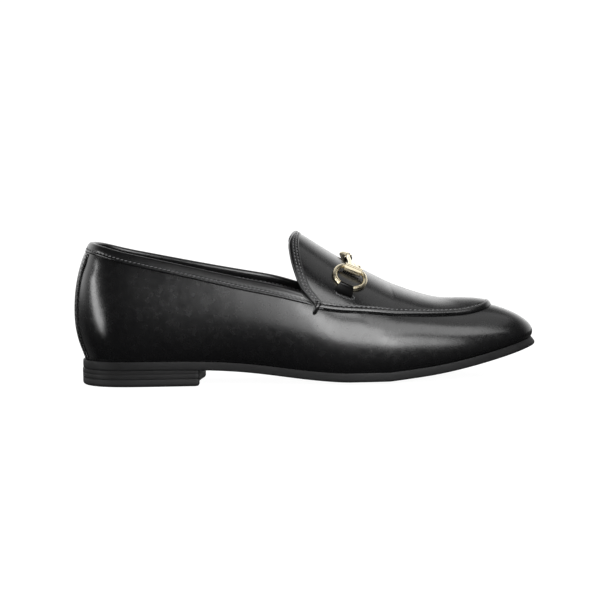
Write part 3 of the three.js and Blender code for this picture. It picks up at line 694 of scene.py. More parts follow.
# %% Outsole
def arc(centre_in, centre_down, radius, first, last, count):
    """Points of a round edge as (distance in from the edge, distance down)."""
    angle = np.radians(np.linspace(first, last, count))
    return [(centre_in - radius * math.cos(a), centre_down - radius * math.sin(a)) for a in angle]


top_round = 0.45
foot_round = 0.8
channel_in = 4.2
toe_bevel = 1.8  # how far the upper edge is cut back at the toe
back_trim = 1.1  # how far the whole edge is drawn in at the back
EDGE_LINE = [
    *[(d, 0) for d in (9, 6, 4, 2.5, 1.5, 0.9)],
    *arc(top_round, top_round, top_round, 90, 8, 6),
    (-0.06, sole_thickness * 0.3),
    (-0.1, sole_thickness * 0.5),
    (-0.06, sole_thickness * 0.72),
    *arc(foot_round, sole_thickness - foot_round, foot_round, -8, -90, 6),
    *[(d, sole_thickness) for d in (1.4, 2.4, 3.4, 3.9)],
    (channel_in, sole_thickness - 0.22),
    *[(d, sole_thickness) for d in (4.5, 5.2, 6.5, 9)],
]
inner_steps = np.linspace(0, 1, 10)


def sole_plate(w):
    """The sole's closed surface as a grid, each row a plane w, each column a place on its section."""
    s, along, across = plane(w)
    reach = edge_reach(w) - back_trim * np.clip(1 - np.abs(w) / 0.2, 0, 1)
    inset = np.array([d for d, _ in EDGE_LINE])
    down = np.array([z for _, z in EDGE_LINE])
    bevel = toe_bevel * np.clip((np.abs(w) - 0.86) / 0.1, 0, 1)
    high = np.clip(1 - (down - top_round) / (0.6 * sole_thickness), 0, 1)
    high = high * np.clip((4 - inset) / 2.5, 0, 1)
    out = reach[:, None] - inset - bevel[:, None] * high
    first = inner_steps[:-1] * out[:, :1]
    last = inner_steps[:-1][::-1] * out[:, -1:]
    out = np.concatenate([first, out, last], axis=1)
    down = np.concatenate([np.full(first.shape[1], down[0]), down, np.full(last.shape[1], down[-1])])
    x = s[:, None] + out * along[:, None]
    y = out * across[:, None]
    on_sole = np.minimum(out, reach[:, None])
    z = sole_top(s[:, None] + on_sole * along[:, None], on_sole * across[:, None]) - down
    return np.stack([x, y, z], axis=-1)


round_sole = np.linspace(-1, 1, 561)
piece("outsole_leather", [sole_plate(round_sole)], sole_leather, ["outsole"], weld=0.02)

# %% [markdown]
# The heel is built of leather lifts glued and pegged together and ends in a rubber top lift. All its
# layers share one outline, which follows the sole behind and is hollowed at the breast in front. Each
# layer is that outline at several heights, drawn in a little at its joints, so that the joints show
# as fine dark lines and catch the light as ground edges do.


# %% Heel outline
def heel_outline(inset, count=60):
    """The heel's outline at a distance inside the sole's edge, from the middle of the back round."""
    breast = back_overhang + heel_length
    back = back_overhang + inset
    t = np.linspace(0, 1, count)[1:]
    sides = []
    for side in (-1, 1):
        front = breast + (breast_slant if side > 0 else 0) - (inset - heel_taper)
        s = back + (front - back) * (1 - np.cos(t * np.pi / 2))
        shifted = np.maximum(s - inset * (1 - t), back_overhang + 0.01)
        width = sole_half_width(side, shifted) - inset
        sides.append(np.stack([s, side * width], axis=-1))
    lateral, medial = sides
    across = np.linspace(0, 1, 25)[1:-1, None]
    hollow = lateral[-1] + (medial[-1] - lateral[-1]) * across
    hollow[:, 0] -= breast_hollow * np.sin(np.pi * across[:, 0])
    outline = np.concatenate([[[back, 0]], lateral, hollow, medial[::-1]])
    return soften_corners(outline)


def soften_corners(outline):
    """Rounds the sharp corners of a closed outline and spaces its points evenly."""
    closed = np.concatenate([outline, outline[:1]])
    along = run_length(closed)
    even = np.linspace(0, along[-1], 241)[:-1]
    return evened(np.stack([np.interp(even, along, closed[:, k]) for k in range(2)], axis=-1), 3)


def heel_layer(levels):
    """A grid of outlines. Each level is (inset, height), and a height of None follows the sole."""
    rings = []
    for inset, height in levels:
        ring = heel_outline(heel_taper + inset)
        if height is None:
            z = sole_bottom(ring[:, 0], ring[:, 1]) - 0.02
        else:
            z = np.full(len(ring), float(height))
        rings.append(np.column_stack([ring, z]))
    return np.stack(rings)


joint = 0.06
lift_joint = (top_lift_thickness + heel_height) / 2 + 0.1
stack_levels = [
    (3, top_lift_thickness),
    (joint, top_lift_thickness + 0.02),
    (0, top_lift_thickness + 0.2),
    (0, lift_joint - 0.16),
    (joint, lift_joint),
    (0, lift_joint + 0.16),
    (0, heel_height - 0.5),
    (joint, heel_height - 0.18),
]
heel_grid = heel_layer(stack_levels)
seat_ring = heel_layer([(joint, None), (4, None)])
piece(
    "heel_stack_leather",
    [np.concatenate([heel_grid, seat_ring])],
    sole_leather,
    ["heel_stack"],
    caps=True,
    wrap=True,
)
foot_in = 1.8
foot_up = 1.95
foot_turn = np.radians([0, 20, 40, 60, 80, 90])
foot_curve = [(foot_in * (1 - math.sin(a)), foot_up * (1 - math.cos(a))) for a in foot_turn]
lift_levels = [(4, 0), *foot_curve, (0, 2.4), (0, 4.1), (joint, 4.3), (3, 4.36)]
piece(
    "top_lift_rubber",
    [heel_layer(lift_levels)],
    lift_rubber,
    ["top_lift"],
    caps=True,
    wrap=True,
)

# %% [markdown]
# The wall of a moccasin is one strip of leather, pulled over the last's edge and lasted under. Its
# surface is the last itself plus what handling leaves: drafts pulled by the lasting, and soft puckers
# where it is gathered to the apron. They are placed one by one, each a smooth hill or trough with its
# own place, width and height in the shoe's measures. A fine grid holds them better than bump would,
# because they also bend the highlights from far away.


# %% Creases
# Each row: place s and v on the shoe, reach along s and v, height in mm, side (0 both).
CREASES = [
    (150, 1.32, 9, 0.07, -0.3, 0),
    (162, 1.30, 7, 0.08, 0.18, 0),
    (176, 1.36, 10, 0.1, -0.16, 0),
    (120, 1.34, 12, 0.06, -0.25, 0),
    (40, 1.3, 16, 0.2, -0.25, 0),
    (86, 1.25, 22, 0.2, 0.2, -1),
    (196, 1.25, 12, 0.1, 0.15, 0),
    (9, 1.33, 5, 0.045, -0.3, -1),
    (9, 1.42, 6, 0.05, 0.15, -1),
]
draft_pitch = 11.0
draft_depth = 0.006


def creases(w, v):
    p = skin(w, v)
    total = np.zeros(p.shape[:-1])
    for s, place, reach_s, reach_v, height, side in CREASES:
        mine = 1.0 if side == 0 else (np.sign(w) == side)
        far = ((p[..., 0] - s) / reach_s) ** 2 + ((v - place) / reach_v) ** 2
        total += mine * height * np.exp(-far)
    drafts = np.sin(2 * np.pi * p[..., 0] / draft_pitch + 3 * np.sin(p[..., 0] / 23))
    return total + draft_depth * drafts * np.exp(-(((v - 1.2) / 0.25) ** 2))


# %% Wall
leather_wall = 0.9
lining_wall = 0.75
band_roll = 1.2
round_shoe = np.linspace(-1, 1, 601)
wall_top = v_at_height(round_shoe, lambda s, w: collar_height(s, w) - band_roll)
mouth = np.flatnonzero(wall_top < 2 - 1e-6)
mouth = slice(mouth[0] - 1, mouth[-1] + 2)
rise_steps = np.linspace(0, 1, 69)
wall_w = np.repeat(round_shoe[:, None], len(rise_steps), axis=1)
wall_v = wall_top[:, None] * rise_steps
outside = lifted(wall_w, wall_v, creases(wall_w, wall_v))
inside = lifted(wall_w, wall_v, -leather_wall)
for face in (outside, inside):
    face[:, 0, 2] -= gap + 0.05


def wall_sheet(outer, inner):
    """The grids of a wall: two faces, the rim at its foot and the rim round the mouth of the shoe."""
    foot_rim = np.stack([outer[:, 0], inner[:, 0]])
    mouth_rim = np.stack([outer[mouth, -1], inner[mouth, -1]])
    return [outer, inner, foot_rim, mouth_rim]


piece("wall_leather", wall_sheet(outside, inside), black_calf, ["upper"])
lining_out = lifted(wall_w, wall_v, -leather_wall - 0.05)
lining_in = lifted(wall_w, wall_v, -leather_wall - lining_wall)
piece("lining", wall_sheet(lining_out[:, ::2], lining_in[:, ::2]), lining_leather)

# %% [markdown]
# The sock lies on the insole and shows through the mouth of the shoe. It is the sole's own plate, set
# inside the lining, with a soft rounded edge.

# %% Insole with its sock
insole_thickness = 3
insole_inset = leather_wall + lining_wall + 0.15


def insole_plate(w):
    s, along, across = plane(w)
    reach = feather_reach(w) - insole_inset
    line = [(0.9, 0.0), (0.3, 0.12), (0.05, 0.5), (0, 1.2), (0, 2.6), (0.3, insole_thickness)]
    out = reach[:, None] - np.array([d for d, _ in line])
    down = np.array([z for _, z in line])
    first = np.linspace(0, 1, 16)[:-1] * out[:, :1]
    last = np.linspace(1, 0, 8)[1:] * out[:, -1:]
    out = np.concatenate([first, out, last], axis=1)
    down = np.concatenate([np.zeros(first.shape[1]), down, np.full(last.shape[1], insole_thickness)])
    x = s[:, None] + out * along[:, None]
    y = out * across[:, None]
    return np.stack([x, y, sole_top(x, y) + gap + insole_thickness - down], axis=-1)


sock_grid = insole_plate(np.linspace(-1, 1, 321))
piece("insole_sock", [sock_grid], lining_leather, ["insole"], weld=0.02)

# %% [markdown]
# The apron is the plug of leather on top of the foot. It runs back into a standing tongue, and round
# its edge it is gathered over the wall as a rolled lip with a row of stitches behind it. Its grid has
# lines that follow the seam at measured distances, close together at the lip, and lines that share
# out the rest up to the ridge. One short table is the lip's section.

# %% The apron's lines
# Section of the lip. along: distance in from the seam; height: above the last; tip, tip_height: the
# same at the toe, where the lip is a slope up to the rim of a flat top.
LIP = table(
    "along height tip tip_height",
    (0, 0.1, 0, 0.1),
    (-0.28, 0.5, 0.12, 0.55),
    (-0.36, 0.95, 0.4, 1.0),
    (-0.24, 1.36, 0.8, 1.4),
    (0.12, 1.7, 1.2, 1.76),
    (0.62, 1.95, 1.6, 2.04),
    (1.2, 2.1, 2.0, 2.22),
    (1.72, 2.12, 2.4, 2.27),
    (2.14, 1.95, 2.75, 2.18),
    (2.45, 1.62, 3.05, 2.06),
    (2.78, 1.34, 3.35, 2.08),
    (3.1, 1.36, 3.7, 2.16),
    (3.5, 1.47, 4.1, 2.2),
    (4.1, 1.5, 4.7, 2.2),
    (5.2, 1.5, 5.7, 2.18),
    (7, 1.5, 7.4, 2.14),
)
apron_height = gap + apron_leather
stitch_line = 2.8
scale_places = np.linspace(0, 1, 121)
seam_scale = {}
for side in (-1, 1):
    low = skin(side * scale_places, seam_line(scale_places))
    high = skin(side * scale_places, seam_line(scale_places) + 0.02)
    seam_scale[side] = curve(scale_places, np.linalg.norm(high - low, axis=-1) / 0.02)


def line_v(side, u, distance, share):
    """v of an apron line: a distance in from the seam, then a share of what is left to the ridge."""
    scale = by_side(side, seam_scale[-1](u), seam_scale[1](u))
    edge = seam_line(u) + distance / scale
    return edge + (2 - edge) * share


def rear_start(side, distance, share, ahead=0.0):
    """The plane at which an apron line starts at the tongue's rear edge."""

    def behind(u):
        p = skin(side * u, line_v(side, u, distance, share))
        return p[..., 0] < rear_reach(p[..., 2]) + ahead

    low = np.full(np.shape(distance), float(plane_at(throat_reach - 2 * tongue_lean)))
    return halved(behind, low, np.full(np.shape(distance), corner_plane + 0.03))


def there_and_back(*stretches):
    """One value for each lateral line up to the ridge, then the same in reverse for the medial ones."""
    values = np.concatenate(stretches)
    return np.concatenate([values, values[-2::-1]])


inner_shares = np.linspace(0, 1, 34)[1:]
inner_ones = np.ones(len(inner_shares))
lines_a_side = len(LIP["along"]) + len(inner_shares)
line_distance = there_and_back(LIP["along"], LIP["along"][-1] * inner_ones)
line_share = there_and_back(np.zeros(len(LIP["along"])), inner_shares)
line_height = there_and_back(LIP["height"], apron_height * inner_ones)
tip_distance = there_and_back(LIP["tip"], LIP["tip"][-1] * inner_ones)
tip_extra = (LIP["tip_height"][-1] - apron_height) * (1 - 0.55 * inner_shares)
tip_height = there_and_back(LIP["tip_height"], apron_height + tip_extra)
sides_of_lines = np.concatenate([-np.ones(lines_a_side), np.ones(lines_a_side - 1)])
print("apron lines:", len(line_share))


tip_start = 0.74
tip_turn = 0.14


def at_tip(u):
    """How far the lip has turned into the toe's slope: 0 along the sides, 1 at the toe."""
    t = np.clip((u - tip_start) / tip_turn, 0, 1)
    return t * t * (3 - 2 * t)


# %% Apron
tongue_start = 1.1
pucker_pitch = 2.5
pucker_depth = 0.05
apron_steps = np.linspace(0, 1, 281)
start_u = rear_start(sides_of_lines, line_distance, line_share, tongue_start)
apron_u = start_u[:, None] + (1 - start_u[:, None]) * apron_steps
apron_side = np.repeat(sides_of_lines[:, None], len(apron_steps), axis=1)
tip = at_tip(apron_u)
apron_distance = line_distance[:, None] * (1 - tip) + tip_distance[:, None] * tip
apron_share = np.repeat(line_share[:, None], len(apron_steps), axis=1)
apron_v = line_v(apron_side, apron_u, apron_distance, apron_share)
apron_w = apron_side * apron_u
seam_arc = {side: run_length(skin(side * scale_places, seam_line(scale_places))) for side in (-1, 1)}
apron_arc = by_side(
    apron_side,
    np.interp(apron_u, scale_places, seam_arc[-1] - seam_arc[-1][-1]),
    np.interp(apron_u, scale_places, seam_arc[1] - seam_arc[1][-1]),
)
puckers = pucker_depth * np.cos(2 * np.pi * apron_arc / pucker_pitch)
puckers = puckers * np.exp(-(((apron_distance - stitch_line) / 1.1) ** 2))
puckers = puckers * (apron_share == 0) * (1 - tip)
rise = line_height[:, None] * (1 - tip) + tip_height[:, None] * tip + puckers
apron_top = lifted(apron_w, apron_v, rise + 0.6 * creases(apron_w, apron_v))
apron_under = lifted(apron_w, apron_v, 0.08)
apron_sheet = sheet_grids(apron_top, apron_under, joined_end=True)
piece("apron_leather", apron_sheet, black_calf, ["apron"])
tongue_in = lifted(apron_w, apron_v, -leather_wall - lining_wall - 0.02)
tongue_out = lifted(apron_w, apron_v, 0.04)
inner = slice(6, len(line_share) - 6)
tongue_sheet = sheet_grids(tongue_out[inner, ::2], tongue_in[inner, ::2], joined_end=True)
piece("tongue_lining", tongue_sheet, lining_leather)

# %% [markdown]
# A binding is a strip of thin leather folded over a raw edge and stitched through. One closed section
# line, with its rounded edges and the dips of its stitch rows, is carried along the edge. The collar
# has one row of stitches, the tongue's rear edge has two close rows.

# %% Collar band
band_width = 6.3
# Section of the band. down: distance under the collar's edge, where the band has its plain width;
# height: off the last.
BAND = table(
    "down height",
    (6.25, 0.06),
    (6.34, 0.45),
    (6.26, 0.8),
    (6.0, 1.02),
    (5.5, 1.12),
    (5.0, 1.06),
    (4.65, 0.88),
    (4.3, 1.04),
    (3.8, 1.16),
    (3.0, 1.2),
    (2.0, 1.16),
    (1.2, 1.0),
    (0.55, 0.62),
    (0.14, 0.1),
    (0.0, -0.5),
    (0.02, -1.1),
    (0.25, -1.65),
    (0.8, -2.05),
    (1.6, -2.25),
    (3.0, -2.3),
    (4.2, -2.24),
    (4.65, -2.1),
    (5.1, -2.24),
    (6.2, -2.26),
    (6.7, -2.1),
    (6.75, -1.72),
    (1.6, -1.72),
    (1.15, -1.3),
    (1.15, -0.4),
    (1.6, 0.05),
)
band_stitch = 4.65
band_steps = np.linspace(-1, 1, 581)


def band_places(down):
    """Planes along the collar, which end under the tongue's slanted edge."""
    reach = throat_reach + 0.5 + corner_reach * np.clip(down / corner_drop, 0, 1)
    return band_steps * float(plane_at(reach))


def at_down(w, down):
    """v at a distance under the collar's edge, which grows with the depth of the binding."""
    edge_part = min(down, 1.0)

    def height_at(s, w):
        lateral = collar_depth(s / throat_reach) / band_width
        stretch = by_side(w, lateral, 1.0)
        return collar_height(s, w) - edge_part - (down - edge_part) * stretch

    return v_at_height(w, height_at)


band_arc = run_length(skin(band_places(band_stitch), at_down(band_places(band_stitch), band_stitch)))
band_grid = []
for down, height in zip(BAND["down"], BAND["height"]):
    w = band_places(down)
    v = at_down(w, down)
    gathered = pucker_depth * np.cos(2 * np.pi * band_arc / pucker_pitch)
    gathered = gathered * math.exp(-(((down - band_stitch) / 0.9) ** 2)) * np.sign(height)
    tucked = 0.35 + 0.65 * np.clip((band_arc[-1] / 2 - np.abs(band_arc - band_arc[-1] / 2)) / 2.2, 0, 1)
    outer = height * tucked if height > 0 else height * np.ones_like(w)
    band_grid.append(lifted(w, v, outer + gathered))
band_grid = np.stack(band_grid, axis=1)
piece("collar_binding", [band_grid], binding_calf, ["collar_band"], caps=True, wrap=True)

# %% Tongue binding
# Section of the tongue's binding. ahead: distance in front of the tongue's edge; height: off the last.
TONGUE_BINDING = table(
    "ahead height",
    (5.1, 1.3),
    (5.2, 1.5),
    (5.05, 1.64),
    (4.5, 1.74),
    (4.0, 1.68),
    (3.7, 1.5),
    (3.4, 1.7),
    (2.9, 1.78),
    (2.4, 1.7),
    (2.1, 1.5),
    (1.8, 1.7),
    (1.3, 1.78),
    (0.8, 1.64),
    (0.35, 1.28),
    (0.06, 0.75),
    (0.0, 0.1),
    (0.02, -0.8),
    (0.3, -1.6),
    (0.9, -2.1),
    (1.8, -2.25),
    (3.5, -2.25),
    (4.6, -2.1),
    (4.7, -1.7),
    (1.4, -1.7),
    (1.0, -1.2),
    (1.0, 0.7),
    (1.4, 1.25),
)
binding_rows = (2.1, 3.7)
edge_distance = there_and_back(np.linspace(-0.4, 7, 40), np.full(80, 7.0))
edge_share = there_and_back(np.zeros(40), np.linspace(0, 1, 81)[1:])
edge_side = there_and_back(-np.ones(120))
edge_side[120:] = 1


def tongue_line(ahead):
    """Places (w, v) a distance in front of the tongue's rear edge, from side to side."""
    u = rear_start(edge_side, edge_distance, edge_share, ahead)
    return edge_side * u, line_v(edge_side, u, edge_distance, edge_share)


rear_w, rear_v = tongue_line(3.0)
rear_arc = run_length(skin(rear_w, rear_v))
binding_grid = []
for ahead, height in zip(TONGUE_BINDING["ahead"], TONGUE_BINDING["height"]):
    w, v = tongue_line(ahead)
    row = min(abs(ahead - r) for r in binding_rows)
    gathered = pucker_depth * np.cos(2 * np.pi * rear_arc / 2.2) * math.exp(-((row / 0.5) ** 2))
    binding_grid.append(lifted(w, v, height + gathered * (height > 0)))
binding_grid = np.stack(binding_grid, axis=1)
piece("tongue_binding", [binding_grid], binding_calf, caps=True, wrap=True)

# %% [markdown]
# The back seam is covered by a strap from the collar's binding down to the sole.

# %% Back strap
strap_width = 17
strap_leather = 0.7
strap_stitch_in = 1.8


def strap_reach(v):
    """w at which the wall stands half a strap off the middle."""

    def inside_strap(w):
        return np.abs(skin(w, v)[..., 1]) < strap_width / 2

    return halved(inside_strap, np.zeros_like(v), np.full_like(v, 0.4))


strap_top = float(at_down(np.array([0.0]), band_width + 0.15)[0])
strap_v = np.linspace(0.04, strap_top, 60)
strap_edge = strap_reach(strap_v)
across = np.sin(np.linspace(-1, 1, 45) * np.pi / 2)
strap_w = across[:, None] * strap_edge
to_edge = (1 - np.abs(across[:, None])) * strap_width / 2
round_over = 0.35
shoulder = np.sqrt(np.clip(1 - (1 - np.clip(to_edge / round_over, 0, 1)) ** 2, 0, 1))
dip = 0.16 * np.exp(-(((to_edge - strap_stitch_in) / 0.45) ** 2))
strap_rise = 0.1 + (gap + strap_leather - 0.1) * shoulder - dip
strap_vv = np.repeat(strap_v[None, :], len(across), axis=0)
strap_out = lifted(strap_w, strap_vv, strap_rise)
strap_in = lifted(strap_w, strap_vv, 0.03)
strap_sheet = sheet_grids(strap_out, strap_in)
piece("back_strap_leather", strap_sheet, black_calf, ["back_strap"])

# %% [markdown]
# Stitches are short pillows of waxed thread that sink at both ends. Curves with a bevel would make a
# cord, not a stitch. So one small rounded body is made once and set down again and again along a
# line, at an even pitch, and each row is joined into one mesh.


# %% Stitches
def stitch_row(name, points, normals, pitch, length, width, height, slant=0.0, zigzag=False):
    """Stitches along a line of points, as one object."""
    run = run_length(points)
    count = int(run[-1] // pitch)
    centres = (np.arange(count) + 0.5) * run[-1] / count
    grids = []
    turns = np.linspace(0, 2 * np.pi, 9)
    lengthwise = np.linspace(-1, 1, 7)

    def at(place, values):
        return np.array([np.interp(place, run, values[:, k]) for k in range(3)])

    for number, centre in enumerate(centres):
        lean = -slant if zigzag and number % 2 else slant
        middle = at(centre, points)
        out = unit(at(centre, normals))
        along = unit(at(centre + length / 2, points) - at(centre - length / 2, points))
        side = np.cross(out, along)
        c, s = math.cos(lean), math.sin(lean)
        along, side = along * c + side * s, side * c - along * s
        grid = []
        for t in lengthwise:
            fat = math.sqrt(max(0, 1 - abs(t) ** 2.6))
            spot = middle + along * (t * length / 2) + out * (height * (1 - t * t))
            wide = side * fat * width / 2
            high = out * fat * width / 2.4
            grid.append([spot + wide * math.cos(a) + high * math.sin(a) for a in turns])
        grids.append(np.array(grid))
    piece(name, grids, waxed_thread, weld=0.002)


def row_on(name, w, v, height, pitch=2.5, length=1.75, slant=0.0):
    """A row of the usual stitches at a height off the last."""
    stitch_row(name, lifted(w, v, height), skin_normal(w, v), pitch, length, 0.6, 0.16, slant)


band_end = float(plane_at(throat_reach + 2.6))
fine_w = np.linspace(-band_end, band_end, 900)
fine_v = at_down(fine_w, band_stitch)
row_on("collar_stitches", fine_w, fine_v, 0.95, slant=0.2)
inside_row = lifted(fine_w, fine_v, -2.15)
stitch_row("collar_stitches_inside", inside_row, -skin_normal(fine_w, fine_v), 2.5, 1.75, 0.55, 0.14)
for number, ahead in enumerate(binding_rows):
    w, v = tongue_line(ahead)
    row_on(f"tongue_stitches_{number}", w, v, 1.56, pitch=2.3, length=1.65, slant=0.15)
for side, word in SIDES:
    u = np.linspace(corner_plane + 0.015, 1, 700)
    tip = at_tip(u)
    v = line_v(side, u, stitch_line + 0.3 * tip, 0 * u)
    row_on(f"apron_stitches_{word}", side * u, v, 1.36 + 0.55 * tip, pitch=2.8, length=1.9, slant=0.12)
    edge_w = side * strap_edge * (1 - strap_stitch_in / (strap_width / 2))
    row_on(f"strap_stitches_{word}", edge_w, strap_v, 0.86)

# %% [markdown]
# The bit is a small snaffle: two rings, and a bar in two halves that link in the middle. Each half
# starts as a roll round its ring, narrows to a neck and ends in an eye. The rings hang on leather
# tabs that vanish in slits in the apron, each with a rim of slanted stitches. Wires are circles carried
# round a line, and the bar's plate is a flat oval carried over the instep.

# %% The bit's places
bit_reach = 159
bit_steepness = 10
ring_radius = 9
ring_flat = 8.8
ring_top = 6.7
ring_wire = 2.6
ring_span = 28
barrel_length = 10.4
barrel_wall = 0.8
bar_thickness = 1.6
bar_neck = 2
eye_radius = 1.6
eye_wire = 1.3
tab_width = 8
tab_leather = 0.6
tab_reach = 5
wire_bore = ring_wire / 2 + gap
ring_lift = wire_bore + barrel_wall
bit_plane = float(plane_at(bit_reach))
bit_middle = lifted(-bit_plane, 2.0, apron_height)
ridge_angle = math.atan(float(ridge_slope(bit_reach)))
ridge_along = np.array([math.cos(ridge_angle), 0, math.sin(ridge_angle)])
bit_angle = ridge_angle + math.radians(bit_steepness)
bit_normal = np.array([math.cos(bit_angle), 0, math.sin(bit_angle)])
bit_v = np.arange(2, 1, -0.01)


def line_of_bit(side):
    """The line that the bit lies on: distances down from the ridge, and the planes it crosses there."""

    def behind_bit(u):
        return (lifted(side * u, bit_v, apron_height) - bit_middle) @ bit_normal < 0

    start = np.full(len(bit_v), bit_plane)
    u = halved(behind_bit, start - 0.15, start + 0.05, 24)
    return run_length(lifted(side * u, bit_v, apron_height)), u


bit_line = {side: line_of_bit(side) for side in (-1, 1)}


def bit_frame(side, distance, lift):
    """Axes of a piece of the bit as a 4x4 matrix: along the ridge, down the side, off the leather."""
    run, u = bit_line[side]
    w = side * np.interp(distance, run, u)
    v = np.interp(distance, run, bit_v)
    out = skin_normal(w, v)
    along = unit(ridge_along - out * (ridge_along @ out))
    down = np.cross(out, along) * side
    made = np.eye(4)
    made[:3, 0], made[:3, 1], made[:3, 2] = along, down, out
    made[:3, 3] = lifted(w, v, apron_height + lift)
    return made


def moved(matrix, x=0.0, y=0.0, z=0.0):
    shift = np.eye(4)
    shift[:3, 3] = x, y, z
    return matrix @ shift


def through(matrix, points):
    return points @ matrix[:3, :3].T + matrix[:3, 3]


print("rings stand", ring_span, "mm down each side of", np.round(bit_middle, 1))


# %% Wires
def circle(radius, count):
    """Points of a circle in the plane z = 0."""
    angle = np.linspace(0, 2 * np.pi, count, endpoint=False)
    return np.stack([np.cos(angle), np.sin(angle), 0 * angle], axis=-1) * radius


def wire(line, radius, sides):
    """A round wire along a closed line in the plane z = 0. Returns a grid whose rows wrap."""
    ahead = unit(np.roll(line, -1, 0) - np.roll(line, 1, 0))
    outward = np.stack([ahead[:, 1], -ahead[:, 0], 0 * ahead[:, 0]], axis=-1)
    section_ring = circle(radius, sides)
    ring = outward[:, None] * section_ring[:, :1] + np.array([0, 0, 1]) * section_ring[:, 1:2]
    grid = line[:, None] + ring
    return np.concatenate([grid, grid[:1]])


def clipped_circle(count=144):
    """The ring's centre line: a circle with a straight side at its top and another at its foot."""
    line = circle(ring_radius, count)
    line[:, 1] = np.clip(line[:, 1], -ring_top, ring_flat)
    return evened(line, 6)


def rolled(length, bore, wall, sides=80, round_end=0.25):
    """A tube along X with rounded ends and a fold line, as a closed grid."""
    half = length / 2
    profile = [
        (-half, bore),
        (-half, bore + wall - round_end),
        (-half + round_end * 0.3, bore + wall - round_end * 0.3),
        (-half + round_end, bore + wall),
        (half - round_end, bore + wall),
        (half - round_end * 0.3, bore + wall - round_end * 0.3),
        (half, bore + wall - round_end),
        (half, bore),
        (-half, bore),
    ]
    angle = np.linspace(0, 2 * np.pi, sides, endpoint=False)
    fold = 0.32 * np.exp(-(((angle - 1.25) / 0.12) ** 2))
    x, r = np.array(profile).T[:, :, None]
    r = r - fold * (r > bore)
    return np.stack([x + 0 * r, r * np.cos(angle), r * np.sin(angle)], axis=-1)


# The bar's halves. along: share of their length; near, far: widths as shares from the neck's to the
# roll's; near_shift, far_shift: how far the line runs towards the heel, in mm.
BAR = table(
    "along near near_shift far far_shift",
    (0, 0.96, 0, 0.96, 0),
    (0.12, 0.72, -0.3, 0.8, -0.9),
    (0.28, 0.34, -1.0, 0.6, -2.6),
    (0.46, 0.08, -1.9, 0.62, -4.2),
    (0.64, 0.0, -2.7, 0.7, -5.0),
    (0.82, 0.0, -3.5, 0.36, -4.8),
    (1, 0.0, -4.0, 0.0, -4.2),
)
bar_width = {-1: curve(BAR["along"], BAR["near"]), 1: curve(BAR["along"], BAR["far"])}
bar_shift = {-1: curve(BAR["along"], BAR["near_shift"]), 1: curve(BAR["along"], BAR["far_shift"])}
joint_lift = 1.1
ring_tilt = -8


def oval(half, thick, crown=0.2, count=28):
    """Section of the bar: a flat oval with a fuller top."""
    angle = np.linspace(0, 2 * np.pi, count, endpoint=False)
    x = half * np.sign(np.cos(angle)) * np.abs(np.cos(angle)) ** 0.55
    z = thick / 2 * np.sign(np.sin(angle)) * np.abs(np.sin(angle)) ** 0.7
    z = z + crown * (1 - (x / half) ** 2) * (z > 0)
    return np.stack([x, 0 * x, z], axis=-1)


def turned(matrix, degrees):
    """A frame turned about its X axis."""
    c, s = math.cos(math.radians(degrees)), math.sin(math.radians(degrees))
    return matrix @ np.array([[1, 0, 0, 0], [0, c, -s, 0], [0, s, c, 0], [0, 0, 0, 1]])


def ring_frame(side):
    """The ring hangs from its roll and leans to the leather at its foot."""
    top = moved(bit_frame(side, ring_span, ring_lift), y=-ring_top)
    return moved(turned(top, ring_tilt), y=ring_top)


def bar_half(side):
    eye_rise = joint_lift + gap + (eye_radius * math.sqrt(0.5) + eye_wire / 2)
    roll_frame = moved(bit_frame(side, ring_span, ring_lift), y=-ring_top)
    middle = moved(bit_frame(side, 0, eye_rise), x=float(bar_shift[side](1)))
    eye_off = eye_radius - eye_wire / 2 - gap / 2
    eye_end = eye_off + eye_radius
    seat = wire_bore + barrel_wall / 2
    start = ring_span - ring_top - seat
    bar_rise = gap + bar_thickness
    rows = []
    for share in np.linspace(0, 1, 49):
        half = (bar_neck + (barrel_length - bar_neck) * max(0, float(bar_width[side](share)))) / 2
        distance = start + (eye_end - start) * share
        rise = bar_rise + (eye_rise - bar_rise) * share * share
        rise += (side > 0) * 1.0 * math.exp(-(((share - 0.7) / 0.22) ** 2))
        free = moved(bit_frame(side, distance, rise), x=float(bar_shift[side](share)))
        held = moved(roll_frame, y=-seat)
        blend = min(1, share / 0.12)
        frame_here = held * (1 - blend) + free * blend
        rows.append(through(frame_here, oval(half, bar_thickness, 0.9 if side > 0 else 0.3)))
    turn = Matrix.Rotation(side * math.pi / 4, 4, "Y")
    eye_frame = moved(middle, y=eye_off) @ np.array(turn)
    eye = through(eye_frame, wire(circle(eye_radius, 40), eye_wire / 2, 14))
    roll = through(roll_frame, rolled(barrel_length, wire_bore, barrel_wall))
    return np.stack(rows), eye, roll


def joined(name, solids, finish, nodes):
    """Several closed grids, some with capped ends, as one object."""
    parts = []
    for number, (grid, caps) in enumerate(solids):
        parts.append(piece(f"{name}_{number}", [grid], finish, caps=caps, wrap=True))
    with bpy.context.temp_override(active_object=parts[0], selected_editable_objects=parts):
        bpy.ops.object.join()
    made = parts[0]
    made.name = name
    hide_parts(*nodes)


for side, word in SIDES:
    ring_grid = through(ring_frame(side), wire(clipped_circle(), ring_wire / 2, 24))
    piece(f"ring_{word}", [ring_grid], pale_gold, [f"bit_ring_{word}"], wrap=True)
    bar, eye, roll = bar_half(side)
    bar_solids = [(bar, True), (eye, False), (roll, False)]
    joined(f"bar_{word}", bar_solids, pale_gold, [f"bit_link_{word}"])


# %% Tabs of the rings
slit_reach = ring_span + ring_flat + tab_reach
tab_spread = 0.32
half_tab = tab_width / 2
tab_end = [(half_tab, 0.93), (half_tab - 0.05, 0.965), (half_tab - 0.25, 1)]
tab_sections = [*[(-x, size) for x, size in tab_end], (0, 1), *tab_end[::-1]]


